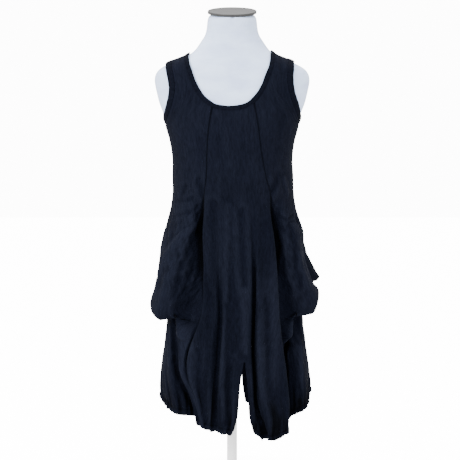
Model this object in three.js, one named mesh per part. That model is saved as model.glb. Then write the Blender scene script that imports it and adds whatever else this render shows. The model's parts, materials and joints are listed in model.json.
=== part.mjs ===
import * as THREE from 'three';

// A sleeveless draped knit dress, worn by a limbless dress form on a pole stand.
// Millimetres, +Z up. The dress faces -Y and +X is the wearer's left.
// The origin is on the floor, in the middle of the stand's foot.

// Driving dimensions

const WALL = 1.2; // the dress's crinkled knit
const CLEARANCE = 3; // from the form to the knit
const SEAM_GAP = 0.3; // between two pieces at a seam
const MOST_MITRE = 1.5; // how much longer the wall may be along a sharp fold
const SQUARENESS = 2.3; // of the rings: 2 is an ellipse
const NECK_BAND = 8.5; // width of the band round the neckline
const ARM_BAND = 13; // width of the band round an armhole
const BAND_WALL = 1.9; // the bands are double knit
const BAND_CROWN = 0.7; // how far the middle of a band stands proud
const NECKLINE_SHIFT = -6; // the straps sit a little to the wearer's right
const TURN = THREE.MathUtils.degToRad(3.5); // the dress hangs turned to the wearer's left
const TURN_FADE = [1160, 1240]; // heights where the turn starts and ends
const WAIST = 960; // below it the knit leaves the form
const SLIT_TOP = 578;
const FOLD_RADIUS = 7; // at the bottom of a hip pouch
const TUCK_RADIUS = 5; // at the top of the tuck inside it
const TUCK_HEIGHT = 42;
const NECK_TILT = THREE.MathUtils.degToRad(12);
const NECK_TILT_FADE = [1322, 1386];
const NECK_PLATE_THICKNESS = 6;
const POLE_RADIUS = 12.5;
const FLANGE_RADIUS = 45;
const FLANGE_THICKNESS = 6;
const FOOT_RADIUS = 175;
const FOOT_THICKNESS = 10;
const FOOT_EDGE = 2;
const FORM_SEGMENTS = 44;
const ROUND_SEGMENTS = 48;

// Rows of the grids: how many steps down each stretch of the dress.

const ARMHOLE_STEPS = 9;
const BODICE_STEPS = 4;
const DRAPE_HEIGHTS = [930, 905, 875, 845, 815, 785];
const POUCH_STEPS = 3;
const TUCK_HEIGHTS = [690, 680, 670, 660, 650, 640]; // where a line has no tuck
const SKIRT_STEPS = 3;
const HEM_STEPS = [0.27, 0.54, 0.8, 1];

function table(names, rows) {
  return rows.map((row) => Object.fromEntries(names.map((name, i) => [name, row[i]])));
}

// Rings of the form: half width, and depth in front of and behind the middle.

const FORM_RINGS = table(['z', 'side', 'front', 'back'], [
  [1386, 57.5, 66, 50],
  [1360, 58.5, 62, 54],
  [1335, 62, 60, 60],
  [1322, 72, 62, 66],
  [1309, 80, 64, 71],
  [1296, 90, 67, 76],
  [1286, 106, 70, 79],
  [1277, 128, 73, 82],
  [1267, 152, 77, 85],
  [1256, 173, 81, 88],
  [1242, 183, 85, 91],
  [1225, 185, 90, 93],
  [1200, 179, 97, 95],
  [1175, 174, 104, 97],
  [1150, 163, 111, 98],
  [1130, 156, 115, 98],
  [1100, 149.5, 119, 97],
  [1070, 141.5, 122, 95],
  [1035, 138.5, 123, 92],
  [1000, 135, 118, 88],
  [960, 129, 106, 84],
  [920, 125, 94, 82],
  [890, 124, 88, 84],
  [850, 128, 88, 87],
  [800, 134, 92, 91],
  [765, 134, 92, 91],
  [745, 124, 84, 83],
  [733, 104, 68, 74],
  [730, 88, 58, 62],
]);

// Rings of the dress below the bust, where it hangs clear of the form.

const BUST = 1070;
const HANGING_RINGS = table(['z', 'side', 'front', 'back'], [
  [1035, 139.5, 124, 94],
  [1000, 141, 122, 94],
  [960, 141.5, 119, 95],
  [920, 144, 120, 98],
  [880, 148, 123, 103],
  [840, 151.5, 127, 109],
  [790, 155, 131, 115],
  [740, 157, 133, 120],
  [700, 158, 134, 122],
  [650, 161, 135, 124],
  [590, 170, 137, 126],
  [530, 179, 138, 128],
  [470, 185, 138, 129],
  [390, 184, 136, 128],
]);

// How far the dress's middle stands to the wearer's left of the form's.

const SWAY = table(['z', 'x'], [
  [1110, 0],
  [1040, 1],
  [940, 3],
  [800, 4],
  [655, 7],
  [390, 8],
]);

// Edges of the openings, as seen from the front: distance from the middle, and height.
// The first row of each is on the shoulder, where the height follows from the form.

const NECK_FRONT = table(['x', 'z'], [
  [93.5, null],
  [90, 1275],
  [82, 1246],
  [74, 1219],
  [61, 1198],
  [47, 1182],
  [28, 1172.5],
  [0, 1170],
]);
const NECK_BACK = table(['x', 'z'], [
  [93.5, null],
  [89, 1279],
  [77, 1262],
  [58, 1249],
  [32, 1241],
  [0, 1238],
]);
const ARM_FRONT = table(['x', 'shift', 'z'], [
  [148.5, -6, null],
  [144.7, -5, 1243],
  [142.6, -2, 1217],
  [145.2, 0, 1196],
  [150.5, 1, 1175],
  [156.5, 1, 1155],
]);
const ARM_BACK = table(['x', 'shift', 'z'], [
  [148.5, -6, null],
  [151, -4, 1243],
  [151, -2, 1217],
  [152.5, 0, 1196],
  [155, 1, 1175],
  [158, 1, 1155],
]);
const UNDERARM = 1141;

// The princess seams: degrees from the middle of the front or back.

const PRINCESS = {
  right: table(['z', 'angle'], [
    [1170, 18.2], [1139, 21.6], [1105, 24.3], [1066, 26.7], [1037, 27.5], [985, 28.7], [950, 32],
    [905, 35], [850, 36.5], [790, 36.5], [700, 35.5], [640, 38], [578, 42], [530, 39], [480, 31],
    [390, 26],
  ]),
  left: table(['z', 'angle'], [
    [1170, 13], [1136, 17.2], [1105, 19.9], [1080, 22], [1048, 24.8], [1013, 27.1], [984, 28.9],
    [950, 32.5], [905, 35], [850, 36.5], [790, 37.5], [700, 38], [640, 38.5], [578, 38.5],
    [480, 39.5], [390, 39.5],
  ]),
};

// How far the princess seams and the side seams stand out from the rings (in, if negative).
// On the right the seam comes back out below the pouch, and the skirt's valley lies beside it.

const PRINCESS_DEPTH = table(['z', 'right', 'left'], [
  [960, 0, 0],
  [930, -13, -13],
  [905, -23, -23],
  [850, -27, -27],
  [790, -30, -29],
  [740, -32, -30],
  [690, -26, -28],
  [640, -13, -25],
  [578, -4, -22],
  [500, -2, -20],
  [390, -2, -8],
]);
const SIDE_DEPTH = table(['z', 'out'], [
  [960, 0],
  [905, 2],
  [850, 3],
  [790, 13],
  [740, 27],
  [690, 30],
]);

// Lines down a side panel as far as the bottom of its pouch, from the princess seam to the
// side seam: their place across the panel (0 to 1), and how far they stand out.

const POUCH_LINES = ['wall', 'brink', 'crest', 'face', 'corner'];
const POUCH_AT = table(['z', ...POUCH_LINES], [
  [960, 0.12, 0.25, 0.4, 0.6, 0.8],
  [905, 0.07, 0.14, 0.24, 0.5, 0.78],
  [850, 0.09, 0.18, 0.31, 0.53, 0.79],
  [790, 0.13, 0.27, 0.4, 0.59, 0.81],
  [740, 0.2, 0.36, 0.47, 0.64, 0.83],
  [690, 0.25, 0.43, 0.55, 0.7, 0.85],
]);
const POUCH_FRONT = table(['z', ...POUCH_LINES], [
  [960, 0, 0, 0, 0, 0],
  [905, -14, 2, 6, 4, 3],
  [850, -23, 2, 12, 7, 4],
  [790, -27, 2, 21, 18, 15],
  [740, -28, 6, 31, 32, 30],
  [690, -30, 10, 38, 42, 43],
]);
const POUCH_BACK = table(['z', ...POUCH_LINES], [
  [960, 0, 0, 0, 0, 0],
  [905, -8, 3, 8, 10, 8],
  [850, -12, 5, 15, 18, 14],
  [790, -14, 7, 26, 32, 32],
  [740, -15, 8, 36, 46, 52],
  [690, -16, 10, 40, 50, 56],
]);
const POUCH_SHARE = {
  front: { right: 1, left: 0.93 },
  back: { right: 0.55, left: 1 }, // the right back pouch hangs flatter
};

// The height of the pouch's bottom at each line, and how much of the tuck inside it each has.

const SIDE_LINES = ['seam', ...POUCH_LINES, 'side'];
const POUCH_BOTTOM = table(['name', ...SIDE_LINES], [
  ['front', 672, 668, 664, 666, 671, 690, 733],
  ['back', 680, 676, 672, 684, 706, 733, 733],
  ['tuck', 0, 0, 0.35, 1, 1, 1, 1],
]);

// Lines down the same panels below the pouch: a lip beside the princess seam, a deep valley
// and the side. Each side of the skirt has its own.

const SKIRT_LINES = ['lip', 'edge', 'valley', 'ridge', 'flank'];
const SKIRT_AT = {
  right: table(['z', ...SKIRT_LINES], [
    [690, 0.24, 0.44, 0.54, 0.68, 0.86],
    [640, 0.17, 0.34, 0.44, 0.6, 0.83],
    [578, 0.06, 0.13, 0.24, 0.42, 0.72],
    [500, 0.03, 0.065, 0.17, 0.36, 0.7],
    [390, 0.03, 0.065, 0.15, 0.32, 0.68],
  ]),
  left: table(['z', ...SKIRT_LINES], [
    [690, 0.2, 0.38, 0.5, 0.64, 0.84],
    [640, 0.13, 0.25, 0.38, 0.55, 0.8],
    [578, 0.06, 0.12, 0.2, 0.36, 0.7],
    [500, 0.05, 0.1, 0.17, 0.34, 0.7],
    [390, 0.06, 0.12, 0.2, 0.4, 0.72],
  ]),
};
const SKIRT_OUT = {
  right: table(['z', ...SKIRT_LINES], [
    [690, -10, -4, -32, -6, 0],
    [640, 2, 5, -42, -5, 0],
    [578, 2, 5, -48, -3, -2],
    [500, 1, 3, -44, -3, -3],
    [390, 0, 2, -22, -3, 0],
  ]),
  left: table(['z', ...SKIRT_LINES], [
    [690, -12, -6, -30, -4, 0],
    [640, -6, -12, -42, -2, 0],
    [578, -40, -44, -22, 4, -2],
    [500, -35, -38, -16, 4, -4],
    [390, -12, -16, -8, 0, 0],
  ]),
};

// Places of the grid's columns among the seven lines of a side panel.

const SIDE_COLUMNS = [0, 1, 2, 2.5, 3, 3.5, 4, 4.5, 5, 5.5, 6];

// Lines down the centre front, from its right seam to its left one: their place across it down
// to the hips, their degrees from the middle below, and how far they stand out at four heights.
// The slit opens between the slit lines.

const CENTRE_HEIGHTS = { top: 1170, waist: 905, hip: 700, slit: 578, skirt: 480, hem: 390 };
const CENTRE_LINES = table(
  [
    'line', 'top', 'waist', 'hip', 'slit', 'skirt', 'hem',
    'waistOut', 'hipOut', 'slitOut', 'hemOut',
  ],
  [
    ['right fold', 0.07, 0.06, 0.07, -38, -28.5, -24.3, 2, 4, 4, 2],
    ['first valley', 0.14, 0.145, 0.16, -30, -25.5, -22.6, -2, -4, -3, -2],
    ['first ridge', 0.205, 0.205, 0.215, -23.5, -22, -20.9, 0, 1, 2, 2],
    ['soft valley', 0.27, 0.265, 0.265, -17.4, -18.2, -18.6, -2, -12, -16, -8],
    ['second ridge', 0.34, 0.335, 0.335, -13, -13.6, -14.4, 1, 2, 3, 2],
    ['shallow valley', 0.415, 0.41, 0.41, -7.8, -8.4, -10.4, 0, -3, -5, -4],
    ['middle', 0.49, 0.49, 0.49, -2.4, -4.4, -7.8, 0, 1, 2, 0],
    ['slit right', 0.555, 0.56, 0.56, 2.9, -1, -6, 0, 0, 0, -6],
    ['slit left', 0.59, 0.583, 0.581, 4.2, 0.3, -4.7, 0, 0, 0, -6],
    ['brow', 0.64, 0.645, 0.611, 8, 9, 15.6, 0, 2, 4, 0],
    ['deep valley', 0.7, 0.69, 0.656, 10.9, 11.7, 18.8, -1, -16, -26, -12],
    ['third ridge', 0.76, 0.74, 0.7, 14.2, 15.2, 22.3, 1, 3, 5, 2],
    ['flat', 0.84, 0.83, 0.815, 24, 26.6, 29.8, 0, 2, 2, 1],
    ['left fold', 0.93, 0.935, 0.925, 34.5, 35.6, 36, 2, 4, 5, 3],
  ],
);
const BACK_DEPTH_SHARE = 0.6; // the back's folds are shallower
const BACK_LEAN = 1.2; // above 1, the back's lines lie nearer to its left seam
const SLIT_CORNER = 10; // how far the hem rises at the slit
const HEM_LEVEL = CENTRE_HEIGHTS.hem; // where the hem's angles are read

// The slit's two edges, seen from the front: distance to the wearer's left of the origin.

const SLIT_FRONT = table(['z', 'right', 'left'], [
  [578, 26.5, 30],
  [542, 20.5, 34],
  [493, 16.5, 37.5],
  [445, 12.5, 41],
  [423, 6, 45],
  [390, 0, 60],
]);
const SLIT_BACK = table(['z', 'right', 'left'], [
  [578, 20, 23.5],
  [542, 14, 25.5],
  [478, 3, 25],
  [440, -4, 28.5],
  [411, -9, 32],
  [390, -13, 44],
]);

// The hem's height by the angle from the middle of the front, towards the wearer's left.

const HEM = table(['degrees', 'height'], [
  [-180, 400], [-168, 394], [-150, 398], [-128, 424], [-105, 452], [-90, 462],
  [-62, 450], [-42, 440], [-30, 430], [-20, 412], [-4, 399], [10, 399], [22, 393],
  [34, 391], [41, 404], [48, 432], [68, 450], [90, 466],
  [110, 454], [132, 428], [150, 398], [168, 394], [180, 400],
]);

// Colours

const KNIT_COLOUR = 0x1c202c;
const BAND_COLOUR = 0x171a25;
const FORM_COLOUR = 0xdfe3ea;
const PLATE_COLOUR = 0x9a999e;
const STAND_COLOUR = 0xe6e6e4;

// Curves through tables

// A smooth curve through [place, value] pairs that never overshoots them.
function track(pairs) {
  const sorted = [...pairs].sort((a, b) => a[0] - b[0]);
  const place = sorted.map((pair) => pair[0]);
  const value = sorted.map((pair) => pair[1]);
  const last = place.length - 1;
  const rise = (i) => (value[i + 1] - value[i]) / (place[i + 1] - place[i]);
  const slope = place.map((_, i) => {
    if (i === 0) return rise(0);
    if (i === last) return rise(last - 1);
    const before = rise(i - 1);
    const after = rise(i);
    return before * after <= 0 ? 0 : (2 * before * after) / (before + after);
  });
  return (at) => {
    if (at <= place[0]) return value[0];
    if (at >= place[last]) return value[last];
    let i = 0;
    while (at > place[i + 1]) i += 1;
    const width = place[i + 1] - place[i];
    const t = (at - place[i]) / width;
    const start = value[i] * (1 + 2 * t) * (1 - t) * (1 - t) + slope[i] * width * t * (1 - t) * (1 - t);
    const end = value[i + 1] * t * t * (3 - 2 * t) + slope[i + 1] * width * t * t * (t - 1);
    return start + end;
  };
}

function column(rows, name) {
  return track(rows.map((row) => [row.z, row[name]]));
}

// The value between two lines, on a smooth curve across all of them.
function across(values, line) {
  return track(values.map((value, i) => [i, value]))(line);
}

function fade(range, z) {
  return THREE.MathUtils.smoothstep(z, range[0], range[1]);
}

// Surfaces made of rings

// A point on a ring: angle 0 is the front and 90 degrees the wearer's left.
function ringPoint(side, front, back, angle, z) {
  const sine = Math.sin(angle);
  const cosine = Math.cos(angle);
  const sum = Math.abs(sine) ** SQUARENESS + Math.abs(cosine) ** SQUARENESS;
  const size = sum ** (-1 / SQUARENESS);
  const depth = cosine > 0 ? front : back;
  return new THREE.Vector3(side * sine * size, -depth * cosine * size, z);
}

const formSide = column(FORM_RINGS, 'side');
const formFront = column(FORM_RINGS, 'front');
const formBack = column(FORM_RINGS, 'back');

function formPoint(angle, z) {
  const point = ringPoint(formSide(z), formFront(z), formBack(z), angle, z);
  point.z += fade(NECK_TILT_FADE, z) * Math.tan(NECK_TILT) * point.y;
  return point;
}

const dressRings = [...FORM_RINGS.filter((row) => row.z >= BUST), ...HANGING_RINGS];
const dressSide = column(dressRings, 'side');
const dressFront = column(dressRings, 'front');
const dressBack = column(dressRings, 'back');
const sway = column(SWAY, 'x');

function bodyPoint(angle, z) {
  const turned = angle + TURN * (1 - fade(TURN_FADE, z));
  const point = ringPoint(dressSide(z), dressFront(z), dressBack(z), turned, z);
  point.x += sway(z);
  return point;
}

// The surface's directions at a place on the dress: along a ring, up, and outwards.
function directions(angle, z) {
  const small = 0.002;
  const along = bodyPoint(angle + small, z).sub(bodyPoint(angle - small, z)).divideScalar(2 * small);
  const up = bodyPoint(angle, z + 0.5).sub(bodyPoint(angle, z - 0.5));
  const outwards = along.clone().cross(up).normalize();
  return { along, up, outwards };
}

// A place on the dress, moved out from the rings.
function dressPoint(place, out = 0) {
  const { outwards } = directions(place.angle, place.z);
  return bodyPoint(place.angle, place.z).addScaledVector(outwards, CLEARANCE + out);
}

// The angle at which the dress's ring at a height is x from the middle, seen from the front.
function angleAt(x, z) {
  let low = -Math.PI / 2;
  let high = Math.PI / 2;
  for (let step = 0; step < 40; step += 1) {
    const middle = (low + high) / 2;
    if (bodyPoint(middle, z).x < x) low = middle;
    else high = middle;
  }
  return (low + high) / 2;
}

function shoulderHeight(x) {
  let low = FORM_RINGS[10].z;
  let high = FORM_RINGS[3].z;
  for (let step = 0; step < 40; step += 1) {
    const middle = (low + high) / 2;
    if (dressSide(middle) > x) low = middle;
    else high = middle;
  }
  return (low + high) / 2;
}

// Edges and their bands

const FINE = 240; // places round an opening
const EASING = 24; // passes that ease its corners
const GUIDE_REACH = 26; // how far from an armhole the panels' rows turn to meet it squarely
const GUIDE_LAG = 13; // places by which the turn comes early at the underarm
const CAP_CROWDING = 1.12; // above 1, the rows lie closer together over the shoulder

// Places along one quarter of an opening, from the shoulder down, on the front or the back.
function openingQuarter(rows, hand, behind) {
  const knots = rows.map((row) => new THREE.Vector2(row.x, row.z ?? shoulderHeight(row.x)));
  const curve = new THREE.SplineCurve(knots);
  const shift = track(rows.map((row, i) => [i, row.shift ?? NECKLINE_SHIFT]));
  const places = [];
  for (let i = 0; i <= FINE; i += 1) {
    const flat = curve.getPoint(i / FINE);
    const x = hand * flat.x + shift((i / FINE) * (rows.length - 1));
    const z = i === 0 ? shoulderHeight(Math.abs(x)) : flat.y;
    const front = i === 0 ? (hand * Math.PI) / 2 : angleAt(x, z);
    places.push({ angle: behind ? hand * Math.PI - front : front, z });
  }
  return places;
}

// The places of a closed edge moved sideways over the surface by a width.
function beside(places, width) {
  const count = places.length;
  return places.map((place, i) => {
    const before = dressPoint(places[(i + count - 1) % count]);
    const after = dressPoint(places[(i + 1) % count]);
    const { along, up, outwards } = directions(place.angle, place.z);
    const sideways = outwards.clone().cross(after.sub(before)).normalize().multiplyScalar(width);
    const aa = along.dot(along);
    const au = along.dot(up);
    const uu = up.dot(up);
    const sa = sideways.dot(along);
    const su = sideways.dot(up);
    const determinant = aa * uu - au * au;
    return {
      angle: place.angle + (sa * uu - su * au) / determinant,
      z: place.z + (su * aa - sa * au) / determinant,
    };
  });
}

// A closed edge as places spaced evenly over the surface, each a whole number apart.
function evenly(places, count) {
  const lengths = [0];
  places.forEach((place, i) => {
    const next = places[(i + 1) % places.length];
    lengths.push(lengths[i] + dressPoint(place).distanceTo(dressPoint(next)));
  });
  const total = lengths[places.length];
  const result = [];
  let i = 0;
  for (let step = 0; step < count; step += 1) {
    const wanted = (total * step) / count;
    while (lengths[i + 1] < wanted) i += 1;
    const part = (wanted - lengths[i]) / (lengths[i + 1] - lengths[i]);
    result.push(between(places[i], places[(i + 1) % places.length], part));
  }
  return result;
}

// A closed edge with its corners eased: each pass moves every place towards its neighbours.
function eased(places, passes) {
  if (passes === 0) return places;
  const count = places.length;
  const softer = places.map((place, i) => {
    const middle = between(places[(i + count - 1) % count], places[(i + 1) % count], 0.5);
    return between(place, middle, 0.5);
  });
  return eased(softer, passes - 1);
}

// The shortest turn from one angle to another.
function turnTo(from, to) {
  return THREE.MathUtils.euclideanModulo(to - from + Math.PI, 2 * Math.PI) - Math.PI;
}

function between(a, b, part) {
  return {
    angle: a.angle + turnTo(a.angle, b.angle) * part,
    z: THREE.MathUtils.lerp(a.z, b.z, part),
  };
}

// A closed list of places read at a position that need not be whole.
function readAt(places, position) {
  const wrapped = THREE.MathUtils.euclideanModulo(position, places.length);
  const i = Math.floor(wrapped);
  return between(places[i], places[(i + 1) % places.length], wrapped - i);
}

// The positions round a closed edge where it crosses the line that a measure is zero on.
function crossings(places, measure) {
  const found = [];
  places.forEach((place, i) => {
    const here = measure(place);
    const next = measure(readAt(places, i + 1));
    const near = Math.abs(here) < 0.5 && Math.abs(next) < 0.5;
    if (near && here <= 0 !== next <= 0) found.push(i + here / (here - next));
  });
  return found;
}

// The closed edge of an opening, its band's seam, the cut edge of the panels round it, and the
// line on them where their rows turn towards it.
function opening(loop, width) {
  const edge = evenly(eased(evenly(loop, FINE), EASING), FINE);
  const side = Math.sign(width);
  return {
    edge,
    seam: beside(edge, width),
    cut: beside(edge, width + side * SEAM_GAP),
    guide: beside(edge, width + side * GUIDE_REACH),
  };
}

// Round the neck: right shoulder, front, left shoulder, back.
function neckLoop() {
  const frontRight = openingQuarter(NECK_FRONT, -1, false);
  const frontLeft = openingQuarter(NECK_FRONT, 1, false).reverse();
  const backLeft = openingQuarter(NECK_BACK, 1, true);
  const backRight = openingQuarter(NECK_BACK, -1, true).reverse();
  return [...frontRight, ...frontLeft.slice(1), ...backLeft.slice(1), ...backRight.slice(1, -1)];
}

// Round an armhole: shoulder, front, underarm, back.
function armLoop(hand) {
  const front = openingQuarter(withUnderarm(ARM_FRONT, hand), hand, false);
  const back = openingQuarter(withUnderarm(ARM_BACK, hand), hand, true).reverse();
  return [...front, ...back.slice(1, -1)];
}

// The armhole's table with its last row, on the side seam.
function withUnderarm(rows, hand) {
  const side = dressSide(UNDERARM);
  const shift = hand * (Math.abs(bodyPoint((hand * Math.PI) / 2, UNDERARM).x) - side);
  return [...rows, { x: side, shift, z: UNDERARM }];
}

const hemHeight = track(HEM.map((row) => [row.degrees, row.height]));
const princessDepth = {
  right: column(PRINCESS_DEPTH, 'right'),
  left: column(PRINCESS_DEPTH, 'left'),
};
const sideDepth = column(SIDE_DEPTH, 'out');
const HANDS = { right: -1, left: 1 };
const OTHER = { right: 'left', left: 'right' };
const princess = {
  right: column(PRINCESS.right, 'angle'),
  left: column(PRINCESS.left, 'angle'),
};

function sideAngle(name) {
  return (HANDS[name] * Math.PI) / 2;
}

// The angle of a princess seam at a height, on the front or the back.
function princessAngle(name, behind, z) {
  const angle = HANDS[name] * THREE.MathUtils.degToRad(princess[name](z));
  return behind ? HANDS[name] * Math.PI - angle : angle;
}

const neck = opening(neckLoop(), -NECK_BAND);
const arms = {
  right: opening(armLoop(HANDS.right), ARM_BAND),
  left: opening(armLoop(HANDS.left), -ARM_BAND),
};

// Positions where the shoulder, princess and side seams meet the cut edges round the openings.

function neckAtShoulder(name) {
  return crossings(neck.cut, (place) => turnTo(sideAngle(name), place.angle))[0];
}

function neckAtPrincess(name, behind) {
  const measure = (place) => turnTo(princessAngle(name, behind, place.z), place.angle);
  return crossings(neck.cut, measure)[0];
}

// The shoulder's crossing of an armhole, and the underarm's.
function armCrossings(name) {
  const edge = arms[name].cut;
  const found = crossings(edge, (place) => turnTo(sideAngle(name), place.angle));
  found.sort((a, b) => readAt(edge, b).z - readAt(edge, a).z);
  return { shoulder: found[0], underarm: found[found.length - 1] };
}

// Positions from the shoulder onwards (or backwards) round a closed edge to another place.
function stepsFromShoulder(from, to, onwards) {
  const turn = onwards ? to - from : from - to;
  const way = THREE.MathUtils.euclideanModulo(turn, FINE) * (onwards ? 1 : -1);
  const share = (i) => (i / ARMHOLE_STEPS) ** CAP_CROWDING;
  return Array.from({ length: ARMHOLE_STEPS + 1 }, (_, i) => from + way * share(i));
}

// Positions from the shoulder to the princess seam, for a side panel's edge at the neck.
function neckSteps(name, behind) {
  const shoulder = neckAtShoulder(name);
  const seam = neckAtPrincess(name, behind);
  return stepsFromShoulder(shoulder, seam, (name === 'right') !== behind);
}

// Positions from the shoulder to the underarm, for a side panel's edge at the armhole.
function armSteps(name, behind) {
  const { shoulder, underarm } = armCrossings(name);
  return stepsFromShoulder(shoulder, underarm, !behind);
}

// Positions from one princess seam to the other, for a centre panel's edge at the neck.
function centreSteps(behind, ats) {
  const first = neckAtPrincess(behind ? 'left' : 'right', behind);
  const last = neckAtPrincess(behind ? 'right' : 'left', behind);
  const way = THREE.MathUtils.euclideanModulo(last - first, FINE);
  return ats.map((at) => first + way * at);
}

// Panels

// How much of a place hangs free of the form, from 0 on the bodice to 1.
function hanging(z) {
  return 1 - THREE.MathUtils.smoothstep(z, WAIST - 30, WAIST);
}

// A point of a panel's grid, with what its wall's thickness follows. On a seam the two panels
// share one direction, and mitre is how much longer the wall is there.
function gridPoint(place, out, seam = null) {
  const { along, outwards } = directions(place.angle, place.z);
  let angle = place.angle;
  if (seam) angle += (seam.inwards * SEAM_GAP) / 2 / along.length();
  return {
    point: dressPoint({ angle, z: place.z }, out),
    along: along.normalize(),
    outwards,
    mitre: seam ? seam.mitre : 0,
    hanging: hanging(place.z),
  };
}

const DEEPEST_SEAM = Math.max(...PRINCESS_DEPTH.map((row) => -row.right));

function seamAt(inwards, depth) {
  return { inwards, mitre: 1 + Math.min(1, Math.abs(depth) / DEEPEST_SEAM) * (MOST_MITRE - 1) };
}

// Moves the points between the first and the last onto a straight line.
function straighten(points) {
  const last = points.length - 1;
  points.forEach(({ point }, i) => point.lerpVectors(points[0].point, points[last].point, i / last));
}

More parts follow.
